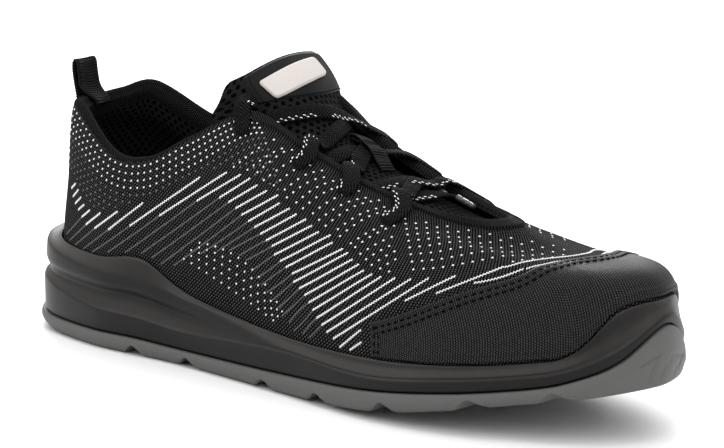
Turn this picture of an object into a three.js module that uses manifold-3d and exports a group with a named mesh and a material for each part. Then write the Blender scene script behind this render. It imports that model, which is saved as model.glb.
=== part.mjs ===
// Right safety shoe, low cut, knitted upper on a two-layer sole. Millimetres, +Z up.
// The frame: the toe points to +X, the outer side of the foot to -Y, and the origin is the centre of the
// heel's flat face on the ground.
import * as THREE from "three";
import { mergeVertices } from "three/addons/utils/BufferGeometryUtils.js";
import Module from "manifold-3d";

// Driving dimensions
const LENGTH = 300; // reference length of the plan, about the toe tip's distance from the heel curve's origin
const BALL_WIDTH = 110; // sole width at the ball of the foot
const SOLE_HEIGHT = 40; // height of the midsole's lip behind the heel
const INSTEP_HEIGHT = 104; // height of the throat's upper corner
const HEEL_CENTRE = 40; // distance of the heel's resting centre from the plan's origin
const GAP = 0.3; // clearance between pieces that meet

const OUTSOLE_THICKNESS = 5; // tread rubber under the midsole
const OUTSOLE_RIM = 3.4; // width of the rubber's rim round the midsole's foot
const TREAD_CHAMFER = 2.6;
const GROOVE_DEPTH = 3.2;
const GROOVE_WIDTH = 6.5;
const GROOVE_SWEEP = 9; // how far a groove runs forward at the middle of the sole
const RUBBER_BULGE = 0.4;
const EDGE_ROUND = 0.6; // small roundings of the sole's edges

const UPPER_WALL = 2.4; // knit with its lining
const COLLAR_PAD = 4; // foam behind the collar's lining
const INSOLE_THICKNESS = 4;
const INSOLE_RISE = 4; // how far the insole's edge stands up round the heel
const INSOLE_DISH = 8; // how far in from its edge the insole turns flat
const LIP_CLEARANCE = 0.8; // between the midsole's cup and the upper
const GUARD_THICKNESS = 1.1;
const BINDING_WIDTH = 7;
const BINDING_THICKNESS = 0.9;
const TONGUE_THICKNESS = 5;
const TONGUE_THINNING = 0.6; // share of that thickness lost at the tongue's sides
const LOOP_THICKNESS = 1.5;
const LACE_WIDTH = 7;
const LACE_THICKNESS = 1.1;
const EYELET_DIAMETER = 4;
const AGLET_DIAMETER = 3;
const KEEPER_WIDTH = 8;
const WEBBING_THICKNESS = 0.9;
const LABEL_THICKNESS = 0.8;

// How finely the round forms are divided
const ROUND = 72;
const MERIDIAN = 11;
const GUARD_GRID = { along: 30, up: 6 };
const BINDING_GRID = { along: 36, up: 2 };
const TONGUE_GRID = { along: 16, across: 10 };
const LABEL_GRID = { along: 3, across: 10 };
const EYELET_SIDES = 8;
const AGLET_SIDES = 10;

// One row for each section of the sole, from behind the heel to the toe tip. x is a share of LENGTH; outer,
// inner and the insets (foot, grooveIn, bandIn, rimIn) are shares of BALL_WIDTH; the rest are shares of
// SOLE_HEIGHT: the tread's edge, the rubber's top, the lower band's top, the upper band's foot, its rim, the
// lip against the upper, and the bed that the insole lies on.
const SOLE_COLUMNS = ["x", "outer", "inner", "tread", "rubber", "ledge", "band", "rim", "lip", "bed",
  "foot", "grooveIn", "bandIn", "rimIn"];
const SOLE_ROWS = [
  [0.02, 0, 0, 0.125, 0.212, 0.588, 0.638, 0.95, 1.012, 0.6, 0.077, 0.032, 0.011, 0.014],
  [0.04, 0.168, 0.168, 0.075, 0.188, 0.57, 0.615, 0.925, 0.988, 0.6, 0.073, 0.032, 0.011, 0.014],
  [0.09, 0.291, 0.286, 0.01, 0.165, 0.525, 0.59, 0.862, 0.938, 0.6, 0.064, 0.032, 0.009, 0.013],
  [0.187, 0.364, 0.336, 0, 0.165, 0.43, 0.58, 0.795, 0.925, 0.595, 0.05, 0.032, 0.007, 0.011],
  [0.267, 0.368, 0.318, 0, 0.17, 0.412, 0.578, 0.772, 0.98, 0.562, 0.048, 0.032, 0.007, 0.011],
  [0.353, 0.371, 0.309, 0, 0.155, 0.368, 0.5, 0.68, 0.718, 0.488, 0.048, 0.027, 0.011, 0.015],
  [0.527, 0.435, 0.391, 0, 0.193, 0.44, 0.46, 0.53, 0.565, 0.37, 0.048, 0.009, 0.016, 0.027],
  [0.683, 0.505, 0.491, 0.075, 0.275, 0.425, 0.437, 0.522, 0.585, 0.35, 0.048, 0.011, 0.018, 0.027],
  [0.8, 0.473, 0.495, 0.215, 0.38, 0.525, 0.54, 0.605, 0.648, 0.425, 0.048, 0.011, 0.018, 0.027],
  [0.89, 0.359, 0.441, 0.34, 0.48, 0.62, 0.635, 0.695, 0.73, 0.512, 0.048, 0.011, 0.018, 0.027],
  [0.943, 0.282, 0.373, 0.405, 0.588, 0.725, 0.75, 0.812, 0.85, 0.588, 0.048, 0.013, 0.019, 0.027],
  [0.986, 0.164, 0.245, 0.465, 0.765, 0.925, 0.975, 1.1, 1.24, 0.638, 0.05, 0.016, 0.023, 0.029],
  [1.012, -0.027, 0.027, 0.5, 1.088, 1.208, 1.232, 1.288, 1.325, 0.65, 0.05, 0.018, 0.025, 0.031],
];

// The upper's edge at collar and throat, one row for each section of the sole: x is a share of LENGTH, outer
// and inner of BALL_WIDTH, and the heights of INSTEP_HEIGHT.
const OPENING_COLUMNS = ["x", "outer", "inner", "outerHeight", "innerHeight"];
const OPENING_ROWS = [
  [0.066, 0, 0, 0.904, 0.904],
  [0.08, 0.118, 0.118, 0.914, 0.925],
  [0.115, 0.227, 0.227, 0.913, 0.952],
  [0.2, 0.3, 0.291, 0.774, 0.837],
  [0.26, 0.3, 0.291, 0.774, 0.822],
  [0.323, 0.273, 0.273, 0.875, 0.899],
  [0.403, 0.209, 0.245, 0.99, 1.015],
  [0.48, 0.182, 0.195, 0.904, 0.913],
  [0.56, 0.168, 0.177, 0.812, 0.817],
  [0.633, 0.155, 0.164, 0.75, 0.75],
  [0.697, 0.127, 0.136, 0.712, 0.706],
  [0.743, 0.073, 0.091, 0.697, 0.692],
  [0.763, -0.009, 0.009, 0.698, 0.698],
];

// The upper's side between its foot and that edge: four steps for each section, each a way in, a share of
// BALL_WIDTH, and a height, a share of INSTEP_HEIGHT. The first way in is square to the outline, and the others
// go on from there straight towards the edge.
const SIDE_COLUMNS = ["in1", "height1", "in2", "height2", "in3", "height3", "in4", "height4"];
const SIDE_ROWS = [
  [0.09, 0.433, 0.107, 0.596, 0.112, 0.75, 0.12, 0.846],
  [0.083, 0.433, 0.1, 0.596, 0.106, 0.75, 0.112, 0.846],
  [0.067, 0.433, 0.076, 0.596, 0.08, 0.74, 0.085, 0.837],
  [0.045, 0.433, 0.045, 0.538, 0.053, 0.635, 0.062, 0.721],
  [0.041, 0.433, 0.042, 0.538, 0.047, 0.635, 0.057, 0.721],
  [0.032, 0.404, 0.041, 0.538, 0.064, 0.673, 0.094, 0.788],
  [0.036, 0.346, 0.086, 0.538, 0.173, 0.731, 0.282, 0.885],
  [0.045, 0.337, 0.155, 0.529, 0.3, 0.673, 0.473, 0.798],
  [0.045, 0.365, 0.164, 0.538, 0.336, 0.639, 0.527, 0.721],
  [0.045, 0.394, 0.136, 0.548, 0.309, 0.625, 0.518, 0.673],
  [0.045, 0.413, 0.118, 0.566, 0.291, 0.615, 0.491, 0.64],
  [0.045, 0.447, 0.1, 0.577, 0.273, 0.611, 0.473, 0.627],
  [0.041, 0.462, 0.095, 0.577, 0.264, 0.615, 0.464, 0.63],
];
// How much lower the inner side's steps lie, in the same rows, as shares of INSTEP_HEIGHT
const INNER_DROP_COLUMNS = ["step2", "step3", "step4"];
const INNER_DROP_ROWS = [
  [0, 0, 0],
  [0, 0, 0],
  [0, 0, 0],
  [0, 0, 0],
  [0, 0, 0],
  [0, 0, 0],
  [0, 0, 0],
  [0.01, 0.01, 0],
  [0.034, 0.034, 0.019],
  [0.038, 0.043, 0.029],
  [0.029, 0.034, 0.024],
  [0.014, 0.014, 0.01],
  [0, 0, 0],
];

// The tongue from under the front of the throat to its free end: x is a share of LENGTH, height of
// INSTEP_HEIGHT, and half, crown, tilt and shift of BALL_WIDTH.
const TONGUE_COLUMNS = ["x", "height", "half", "crown", "tilt", "shift"];
const TONGUE_ROWS = [
  [0.79, 0.63, 0.155, 0.027, 0, 0.009],
  [0.745, 0.66, 0.191, 0.036, 0, 0.009],
  [0.683, 0.68, 0.214, 0.045, 0, 0.009],
  [0.607, 0.745, 0.227, 0.068, 0, 0.009],
  [0.533, 0.832, 0.236, 0.095, 0, 0.014],
  [0.48, 0.92, 0.241, 0.118, 0.01, 0.018],
  [0.427, 1.065, 0.25, 0.125, 0.03, 0.035],
  [0.38, 1.165, 0.255, 0.09, 0.045, 0.045],
];

const SECTIONS = SOLE_ROWS.length - 1;
const LOOP_SECTIONS = 2 * SECTIONS;

function column(columns, rows, name) {
  const at = columns.indexOf(name);
  return rows.map((row) => row[at]);
}

// Smooth value of a closed list at station t, through each entry.
function smoothLoop(values, t) {
  const n = values.length;
  const start = Math.floor(t);
  const f = t - start;
  const at = (k) => values[(((start + k) % n) + n) % n];
  const [a, b, c, d] = [at(-1), at(0), at(1), at(2)];
  return smoothStep(a, b, c, d, f);
}

// Smooth value of an open list at station t, carried straight on past its ends.
function smoothOpen(values, t) {
  const last = values.length - 1;
  const start = Math.min(Math.max(Math.floor(t), 0), last - 1);
  const f = t - start;
  const before = start > 0 ? values[start - 1] : 2 * values[0] - values[1];
  const after = start < last - 1 ? values[start + 2] : 2 * values[last] - values[last - 1];
  return smoothStep(before, values[start], values[start + 1], after, f);
}

function smoothStep(a, b, c, d, f) {
  const slope = c - a;
  const bend = 2 * a - 5 * b + 4 * c - d;
  const twist = 3 * b - a - 3 * c + d;
  return b + 0.5 * f * (slope + f * (bend + f * twist));
}

// A list round the shoe: the outer side's rows from heel to toe, then the inner side's back to the heel.
function around(outer, inner) {
  return [...outer, ...inner.slice(1, -1).reverse()];
}

function soleLoop(name) {
  const values = column(SOLE_COLUMNS, SOLE_ROWS, name);
  return around(values, values);
}

const PLAN_X = soleLoop("x");
const PLAN_Y = around(
  column(SOLE_COLUMNS, SOLE_ROWS, "outer").map((y) => -y),
  column(SOLE_COLUMNS, SOLE_ROWS, "inner"),
);
const EDGE_X = around(column(OPENING_COLUMNS, OPENING_ROWS, "x"), column(OPENING_COLUMNS, OPENING_ROWS, "x"));
const EDGE_Y = around(
  column(OPENING_COLUMNS, OPENING_ROWS, "outer").map((y) => -y),
  column(OPENING_COLUMNS, OPENING_ROWS, "inner"),
);
const EDGE_Z = around(
  column(OPENING_COLUMNS, OPENING_ROWS, "outerHeight"),
  column(OPENING_COLUMNS, OPENING_ROWS, "innerHeight"),
);
const RAILS = Object.fromEntries(SOLE_COLUMNS.map((name) => [name, soleLoop(name)]));
const SIDE_STEPS = [1, 2, 3, 4].map((step) => {
  const heights = column(SIDE_COLUMNS, SIDE_ROWS, "height" + step);
  const drops = step === 1 ? heights.map(() => 0) : column(INNER_DROP_COLUMNS, INNER_DROP_ROWS, "step" + step);
  const ins = column(SIDE_COLUMNS, SIDE_ROWS, "in" + step);
  return { in: around(ins, ins), height: around(heights, heights.map((h, k) => h - drops[k])) };
});

function plan(t) {
  return new THREE.Vector2(smoothLoop(PLAN_X, t) * LENGTH, smoothLoop(PLAN_Y, t) * BALL_WIDTH);
}

// Unit vector that points from the plan's outline into the shoe.
function inward(t) {
  const step = 0.001;
  const along = plan(t + step).sub(plan(t - step)).normalize();
  return new THREE.Vector2(-along.y, along.x);
}

function soleHeight(name, t) {
  return smoothLoop(RAILS[name], t) * SOLE_HEIGHT;
}

function treadHeight(t) {
  return Math.max(0, soleHeight("tread", t));
}

function inset(name, t) {
  return smoothLoop(RAILS[name], t) * BALL_WIDTH;
}

function edge(t) {
  return new THREE.Vector3(
    smoothLoop(EDGE_X, t) * LENGTH,
    smoothLoop(EDGE_Y, t) * BALL_WIDTH,
    smoothLoop(EDGE_Z, t) * INSTEP_HEIGHT,
  );
}

// Point of a ring round the sole, a way in from the outline at a height.
function ringPoint(t, way, height) {
  const p = plan(t).addScaledVector(inward(t), way);
  return new THREE.Vector3(p.x, p.y, height);
}

// The upper's outer face: t goes round the shoe from behind the heel, v from 0 at its foot to 1 at its edge.
function upperPoint(t, v) {
  const top = edge(t);
  const firstWay = smoothLoop(SIDE_STEPS[0].in, t) * BALL_WIDTH;
  const wall = ringPoint(t, firstWay, 0);
  const towards = top.clone().setZ(0).sub(wall).normalize();
  const foot = ringPoint(t, inset("foot", t), soleHeight("bed", t) + GAP);
  const steps = SIDE_STEPS.map((step) => wall.clone()
    .addScaledVector(towards, smoothLoop(step.in, t) * BALL_WIDTH - firstWay)
    .setZ(smoothLoop(step.height, t) * INSTEP_HEIGHT));
  const line = [foot, ...steps, top];
  const s = v * (line.length - 1);
  return new THREE.Vector3(
    smoothOpen(line.map((p) => p.x), s),
    smoothOpen(line.map((p) => p.y), s),
    smoothOpen(line.map((p) => p.z), s),
  );
}

function upperNormal(t, v) {
  const step = 0.01;
  const high = Math.min(v + step, 1);
  const low = Math.max(high - 2 * step, 0);
  const across = upperPoint(t + step, v).sub(upperPoint(t - step, v));
  const up = upperPoint(t, high).sub(upperPoint(t, low));
  return across.cross(up).normalize();
}

// A point off the upper's outer face, outwards for a positive distance.
function offUpper(t, v, distance) {
  return upperPoint(t, v).addScaledVector(upperNormal(t, v), distance);
}

function blend(x, from, to) {
  return THREE.MathUtils.smoothstep(x, from, to);
}

// Level at which the upper's face reaches a height.
function levelAt(t, height) {
  let [low, high] = [0, 0.5];
  for (let k = 0; k < 20; k++) {
    const middle = (low + high) / 2;
    if (upperPoint(t, middle).z < height) low = middle;
    else high = middle;
  }
  return (low + high) / 2;
}

// How far the upper's face lies inside the plan's outline at a height.
function upperWay(t, height) {
  const p = upperPoint(t, levelAt(t, height));
  return new THREE.Vector2(p.x, p.y).sub(plan(t)).dot(inward(t));
}

// The wall is thicker where the collar is padded: behind and beside the heel, near the edge.
function upperWall(t, v) {
  const padEnds = 6;
  const fromHeel = Math.min(t, LOOP_SECTIONS - t);
  const nearHeel = 1 - blend(fromHeel, padEnds - 1.5, padEnds);
  const nearEdge = blend(v, 0.5, 0.8) * (1 - 0.5 * blend(v, 0.92, 1));
  return UPPER_WALL + COLLAR_PAD * nearHeel * nearEdge;
}

// Triangles of a closed or open strip grid of points, rows of equal length.
function gridFaces(rows, wraps, faces, index) {
  const count = rows[0].length;
  for (let r = 0; r + 1 < rows.length; r++) {
    for (let k = 0; k < (wraps ? count : count - 1); k++) {
      const next = (k + 1) % count;
      const [a, b, c, d] = [index(r, k), index(r, next), index(r + 1, next), index(r + 1, k)];
      faces.push(a, b, c, a, c, d);
    }
  }
}

function meshGeometry(points, faces) {
  const geometry = new THREE.BufferGeometry();
  geometry.setAttribute("position", new THREE.Float32BufferAttribute(points.flatMap((p) => [p.x, p.y, p.z]), 3));
  geometry.setIndex(faces);
  return mergeVertices(geometry, 0.001);
}

// Solid through rings that all go round the shoe, closed across by rungs at its first and last ring.
function ringSolid(rings) {
  const count = rings[0].length;
  const faces = [];
  gridFaces(rings, true, faces, (r, k) => r * count + k);
  rungs(0, count, faces, true);
  rungs((rings.length - 1) * count, count, faces, false);
  return meshGeometry(rings.flat(), faces);
}

function rungs(first, count, faces, reversed) {
  for (let k = 0; k < count / 2; k++) {
    const [a, b] = [first + k, first + k + 1];
    const [c, d] = [first + ((count - k - 1) % count), first + ((count - k) % count)];
    const pair = [[a, b, c], [a, c, d]];
    for (const face of pair) {
      if (new Set(face).size < 3) continue;
      faces.push(...(reversed ? face.reverse() : face));
    }
  }
}

function ringStations() {
  return Array.from({ length: ROUND }, (_, k) => (k / ROUND) * LOOP_SECTIONS);
}

function soleRings(profile) {
  const stations = ringStations();
  return profile.map((at) => stations.map((t) => {
    const [way, height] = at(t);
    return ringPoint(t, way, height);
  }));
}

function rubberFloor(t) {
  return Math.min(treadHeight(t) + OUTSOLE_THICKNESS, soleHeight("rubber", t) - EDGE_ROUND);
}

// Rubber outsole: tread face, bulging side, rim, and the seat that the midsole stands in.
function outsoleBlank() {
  const top = (t) => soleHeight("rubber", t);
  return ringSolid(soleRings([
    (t) => [TREAD_CHAMFER, treadHeight(t)],
    (t) => [TREAD_CHAMFER * 0.35, treadHeight(t) + TREAD_CHAMFER * 0.45],
    (t) => [-RUBBER_BULGE, THREE.MathUtils.lerp(treadHeight(t), top(t), 0.55)],
    (t) => [0, top(t) - EDGE_ROUND],
    (t) => [EDGE_ROUND, top(t)],
    (t) => [OUTSOLE_RIM, top(t)],
    (t) => [OUTSOLE_RIM + GAP, rubberFloor(t)],
  ]));
}

// Black midsole: a lower band, a groove that dies out under the ball, an upper band, and the cup for the upper.
function midsole() {
  const seat = (t) => soleHeight("rubber", t) + GAP;
  return ringSolid(soleRings([
    (t) => [OUTSOLE_RIM + 2 * GAP, rubberFloor(t) + GAP],
    (t) => [OUTSOLE_RIM + GAP, seat(t)],
    (t) => [2 * EDGE_ROUND, seat(t)],
    (t) => [EDGE_ROUND, soleHeight("ledge", t) - 2 * EDGE_ROUND],
    (t) => [2 * EDGE_ROUND, soleHeight("ledge", t)],
    (t) => [inset("grooveIn", t), soleHeight("band", t)],
    (t) => [inset("bandIn", t), THREE.MathUtils.lerp(soleHeight("band", t), soleHeight("rim", t), 0.45)],
    (t) => [inset("rimIn", t), soleHeight("rim", t)],
    (t) => [upperWay(t, soleHeight("lip", t)) - LIP_CLEARANCE - EDGE_ROUND, soleHeight("lip", t) - EDGE_ROUND],
    (t) => [upperWay(t, soleHeight("lip", t)) - LIP_CLEARANCE, soleHeight("lip", t)],
    (t) => [upperWay(t, cupMiddle(t)) - LIP_CLEARANCE, cupMiddle(t)],
    (t) => [inset("foot", t) - GAP, soleHeight("bed", t)],
  ]));
}

function cupMiddle(t) {
  return (soleHeight("bed", t) + soleHeight("lip", t)) / 2;
}

// Foam insole inside the upper's foot, its edge raised round the heel.
function insole() {
  const way = (t) => inset("foot", t) + UPPER_WALL + 2 * GAP;
  const fromHeel = (t) => Math.min(t, LOOP_SECTIONS - t);
  const raise = (t) => INSOLE_RISE * (1 - blend(fromHeel(t), 3, 6));
  const bed = (t) => soleHeight("bed", t) + GAP;
  return ringSolid(soleRings([
    (t) => [way(t) + EDGE_ROUND, bed(t)],
    (t) => [way(t), bed(t) + EDGE_ROUND],
    (t) => [way(t) + EDGE_ROUND, bed(t) + INSOLE_THICKNESS + raise(t)],
    (t) => [way(t) + INSOLE_DISH / 4, bed(t) + INSOLE_THICKNESS + raise(t)],
    (t) => [way(t) + INSOLE_DISH, bed(t) + INSOLE_THICKNESS],
  ]));
}

// Knitted upper: one wall open at the collar, along the throat and underneath.
function upper() {
  return upperShell(0, 0, 1);
}

// The upper's wall up to a level, swollen outwards and inwards.
function upperShell(outerSwell, innerSwell, reach) {
  const stations = ringStations();
  const levels = Array.from({ length: MERIDIAN + 1 }, (_, k) => (reach * k) / MERIDIAN);
  const outside = levels.map((v) => stations.map((t) => offUpper(t, v, outerSwell)));
  const inside = levels.map((v) => stations.map((t) => offUpper(t, v, -innerSwell - upperWall(t, v))));
  const rings = [...outside, ...inside.reverse(), outside[0]];
  const faces = [];
  gridFaces(rings, true, faces, (r, k) => (r % (rings.length - 1)) * ROUND + k);
  return meshGeometry(rings.slice(0, -1).flat(), faces);
}

// A plate on the upper's outer face between stations, from a low to a high level at each station.
function overlay(from, to, low, high, grid, off, thickness) {
  const sheet = (distance) => Array.from({ length: grid.up + 1 }, (_, r) =>
    Array.from({ length: grid.along + 1 }, (_, k) => {
      const t = THREE.MathUtils.lerp(from, to, k / grid.along);
      return offUpper(t, THREE.MathUtils.lerp(low(t), high(t), r / grid.up), distance);
    }));
  return plate(sheet(off + thickness), sheet(off));
}

// Closed solid between two sheets of points, the first one facing out.
function plate(front, back) {
  const rows = front.length;
  const count = front[0].length;
  const faces = [];
  gridFaces(front, false, faces, (r, k) => r * count + k);
  const second = rows * count;
  gridFaces(back, false, faces, (r, k) => second + r * count + (count - 1 - k));
  const rim = [];
  for (let k = 0; k < count; k++) rim.push(k);
  for (let r = 1; r < rows; r++) rim.push(r * count + count - 1);
  for (let k = count - 2; k >= 0; k--) rim.push((rows - 1) * count + k);
  for (let r = rows - 2; r > 0; r--) rim.push(r * count);
  rim.forEach((a, k) => {
    const b = rim[(k + 1) % rim.length];
    faces.push(a, second + a, second + b, a, second + b, b);
  });
  return meshGeometry([...front.flat(), ...back.flat()], faces);
}

// The guard's upper edge, one level of the upper for each row: station from the toe tip, and level.
const GUARD_EDGE_COLUMNS = ["station", "level"];
const GUARD_EDGE_ROWS = [
  [0, 0.63],
  [1, 0.61],
  [2, 0.52],
  [3, 0.42],
  [4, 0.32],
  [5, 0.22],
];
const GUARD_REACH = 5; // stations on each side of the toe tip

function toeGuard() {
  const stations = column(GUARD_EDGE_COLUMNS, GUARD_EDGE_ROWS, "station");
  const levels = column(GUARD_EDGE_COLUMNS, GUARD_EDGE_ROWS, "level");
  const high = (t) => {
    const away = Math.abs(t - SECTIONS);
    const row = Math.min(stations.findLastIndex((s) => s <= away), stations.length - 2);
    const f = (away - stations[row]) / (stations[row + 1] - stations[row]);
    return smoothOpen(levels, row + f);
  };
  const low = (t) => levelAt(t, soleHeight("lip", t) + 2 * GAP);
  return overlay(SECTIONS - GUARD_REACH, SECTIONS + GUARD_REACH, low, high, GUARD_GRID, 2 * GAP, GUARD_THICKNESS);
}

// Tape round the throat's edge, from one upper corner to the other.
const BINDING_START = 6; // station
function throatBinding() {
  const low = (t) => {
    const top = upperPoint(t, 1);
    const run = top.distanceTo(upperPoint(t, 0.9)) / 0.1;
    return 1 - BINDING_WIDTH / run;
  };
  return overlay(BINDING_START, LOOP_SECTIONS - BINDING_START, low, () => 1, BINDING_GRID, 1.5 * GAP, BINDING_THICKNESS);
}

// Padded tongue under the throat, its free end standing above the collar.
function tonguePoint(s, w, depth) {
  const at = (name) => smoothOpen(column(TONGUE_COLUMNS, TONGUE_ROWS, name), s);
  const step = 0.01;
  const x = (u) => smoothOpen(column(TONGUE_COLUMNS, TONGUE_ROWS, "x"), u) * LENGTH;
  const z = (u) => smoothOpen(column(TONGUE_COLUMNS, TONGUE_ROWS, "height"), u) * INSTEP_HEIGHT;
  const along = new THREE.Vector2(x(s + step) - x(s - step), z(s + step) - z(s - step)).normalize();
  const down = new THREE.Vector2(along.y, -along.x).multiplyScalar(along.x < 0 ? -1 : 1);
  const fall = at("crown") * BALL_WIDTH * w * w - at("tilt") * BALL_WIDTH * w + depth;
  return new THREE.Vector3(
    x(s) - down.x * -fall,
    (at("shift") + at("half") * w) * BALL_WIDTH,
    z(s) + down.y * fall,
  );
}

// A point above the tongue's outer face, and the way that the face looks there.
function onTongue(s, w, lift) {
  const step = 0.01;
  const across = tonguePoint(s, w + step, 0).sub(tonguePoint(s, w - step, 0));
  const along = tonguePoint(s + step, w, 0).sub(tonguePoint(s - step, w, 0));
  const facing = across.cross(along).normalize();
  return { point: tonguePoint(s, w, 0).addScaledVector(facing, lift), facing };
}

function tongueBlank() {
  const { along, across } = TONGUE_GRID;
  const sheet = (under) => Array.from({ length: along + 1 }, (_, r) =>
    Array.from({ length: across + 1 }, (_, k) => {
      const s = (r / along) * (TONGUE_ROWS.length - 1);
      const w = -1 + (2 * k) / across;
      const pad = TONGUE_THICKNESS * (1 - TONGUE_THINNING * w ** 4);
      return tonguePoint(s, w, under ? pad : 0);
    }));
  return plate(sheet(false), sheet(true));
}

const wasm = await Module();
wasm.setup();

function solid(geometry) {
  const bare = mergeVertices(geometry, 0.001);
  return new wasm.Manifold(new wasm.Mesh({
    numProp: 3,
    vertProperties: bare.getAttribute("position").array,
    triVerts: new Uint32Array(bare.index.array),
  }));
}

function geometryOf(made) {
  const { vertProperties, triVerts } = made.getMesh();
  const geometry = new THREE.BufferGeometry();
  geometry.setAttribute("position", new THREE.BufferAttribute(vertProperties, 3));
  geometry.setIndex(new THREE.BufferAttribute(triVerts, 1));
  return geometry;
}

// Places of the tread's cross grooves, as shares of LENGTH.
const GROOVE_PLACES = [0.243, 0.337, 0.482, 0.583, 0.697, 0.813, 0.903];

function grooveCutter(x) {
  const reach = BALL_WIDTH;
  const half = GROOVE_WIDTH / 2;
  const shape = new THREE.Shape([
    new THREE.Vector2(-half, -reach),
    new THREE.Vector2(half, -reach),
    new THREE.Vector2(half + GROOVE_SWEEP, 0),
    new THREE.Vector2(half, reach),
    new THREE.Vector2(-half, reach),
    new THREE.Vector2(-half + GROOVE_SWEEP, 0),
  ]);
  const geometry = new THREE.ExtrudeGeometry(shape, { depth: SOLE_HEIGHT, bevelEnabled: false });
  geometry.translate(x, 0, treadAt(x) + GROOVE_DEPTH - SOLE_HEIGHT);
  return geometry;
}

// Tread height of the outer side at a distance along the shoe.
function treadAt(x) {
  let [low, high] = [0, SECTIONS];
  for (let k = 0; k < 24; k++) {
    const middle = (low + high) / 2;
    if (plan(middle).x < x) low = middle;
    else high = middle;
  }
  return treadHeight(low);
}

function outsole() {
  let made = solid(outsoleBlank());
  for (const share of GROOVE_PLACES) made = made.subtract(solid(stripped(grooveCutter(share * LENGTH))));
  return geometryOf(made);
}

// The tongue, pressed in where the throat's edges and the lace at its corners lie on it.
function tongue() {
  const edges = upperShell(BINDING_THICKNESS + 2 * GAP, 2 * GAP, 1.02);
  let made = solid(tongueBlank()).subtract(solid(edges));
  for (const rows of Object.values(LACE_CORNERS)) {
    made = made.subtract(solid(band(rows, LACE_WIDTH + 4 * GAP, LACE_THICKNESS + 2 * GAP)));
  }
  const pieces = made.decompose().sort((a, b) => b.volume() - a.volume());
  return geometryOf(pieces[0]);
}

// Holes that the lace runs through, the outer side's first: station and level on the upper.
const EYELET_COLUMNS = ["station", "level"];
const EYELET_ROWS = [
  [5.75, 0.825],
  [6.38, 0.725],
  [7.2, 0.725],
  [7.73, 0.645],
];

function eyeletCutter(t, v) {
  const reach = 3 * UPPER_WALL;
  const geometry = new THREE.CylinderGeometry(EYELET_DIAMETER / 2, EYELET_DIAMETER / 2, 2 * reach, EYELET_SIDES);
  geometry.applyQuaternion(new THREE.Quaternion().setFromUnitVectors(THREE.Object3D.DEFAULT_UP, upperNormal(t, v)));
  const place = offUpper(t, v, -UPPER_WALL / 2);
  return stripped(geometry.translate(place.x, place.y, place.z));
}

function upperWithEyelets() {
  let made = solid(upper());
  for (const [station, level] of EYELET_ROWS) {
    for (const t of [station, LOOP_SECTIONS - station]) made = made.subtract(solid(eyeletCutter(t, level)));
  }
  return geometryOf(made);
}

// A flat band along rows of points: each row names its surface, its place on it, and the lift of the band's
// middle off it. On the upper the place is a station and a level, on the tongue a place along and a side.
function band(rows, width, thickness) {
  const places = rows.map(([surface, along, across, lift]) => (surface === "tongue"
    ? onTongue(along, across, lift)
    : { point: offUpper(along, across, lift), facing: upperNormal(along, across) }));
  const line = new THREE.CatmullRomCurve3(places.map((place) => place.point));
  const facing = new THREE.CatmullRomCurve3(places.map((place) => place.facing));
  return strap(line, facing, 2 * (rows.length - 1), () => width, thickness);
}

function strap(line, facing, steps, width, thickness) {
  const front = [[], []];
  const back = [[], []];
  for (let k = 0; k <= steps; k++) {
    const share = k / steps;
    const along = line.getTangent(share);
    const side = facing.getPoint(share).cross(along).normalize();
    const up = along.cross(side);
    [-1, 1].forEach((way, row) => {
      const rim = line.getPoint(share).addScaledVector(side, (way * width(share)) / 2);
      front[row].push(rim.clone().addScaledVector(up, thickness / 2));
      back[row].push(rim.addScaledVector(up, -thickness / 2));
    });
  }
  return plate(front, back);
}

// The lace's bars. Each crossing is one piece: the first bar comes from inside the outer edge of the throat and
// ends at an eyelet of the inner side, and the second one runs the other way, from an outer eyelet.
const LACE_CROSSINGS = {
  lace_crossing_rear: [
    [["tongue", 5.7, -0.76, 1.1], ["tongue", 5.52, -0.4, 1.3], ["tongue", 5.38, 0, 1.6], ["tongue", 5.2, 0.42, 2.4],
      ["upper", 16.7, 1.03, 2.6], ["upper", 17.15, 0.87, 2.2], ["upper", 17.6, 0.75, 1.1]],
    [["upper", 6.4, 0.75, 1.1], ["upper", 6.85, 0.87, 2.2], ["upper", 7.3, 1.03, 2.6], ["tongue", 4.72, -0.42, 1.9],
      ["tongue", 4.87, -0.06, 1.3], ["tongue", 5.1, 0.36, 1.4], ["tongue", 5.32, 0.64, 1]],
  ],
  lace_crossing_middle: [
    [["tongue", 4.3, -0.62, 1], ["tongue", 4.26, -0.33, 1], ["tongue", 4.21, -0.05, 1], ["tongue", 4.1, 0.3, 1.2],
      ["upper", 15.9, 1.03, 2.6], ["upper", 16.35, 0.87, 2.2], ["upper", 16.78, 0.75, 1.1]],
    [["upper", 7.22, 0.75, 1.1], ["upper", 7.65, 0.87, 2.2], ["upper", 8.1, 1.03, 2.6], ["tongue", 3.76, -0.42, 2.1],
      ["tongue", 3.96, -0.14, 1.8], ["tongue", 4.18, 0.2, 1.9], ["tongue", 4.5, 0.66, 1.2]],
  ],
  lace_crossing_front: [
    [["tongue", 3.3, -0.62, 1.1], ["tongue", 3.2, -0.36, 1.6], ["tongue", 3.04, 0, 3.4], ["tongue", 2.8, 0.34, 4.2],
      ["upper", 14.8, 1.03, 2.8], ["upper", 15.5, 0.84, 2.2], ["upper", 16.25, 0.67, 1.1]],
    [["upper", 7.75, 0.67, 1.1], ["upper", 8.5, 0.84, 2.2], ["upper", 9.2, 1.03, 2.8], ["tongue", 2.74, -0.38, 3.6],
      ["tongue", 2.86, -0.14, 3.3], ["tongue", 3.02, 0.16, 2.9], ["tongue", 3.25, 0.62, 1.3]],
  ],
};
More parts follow.
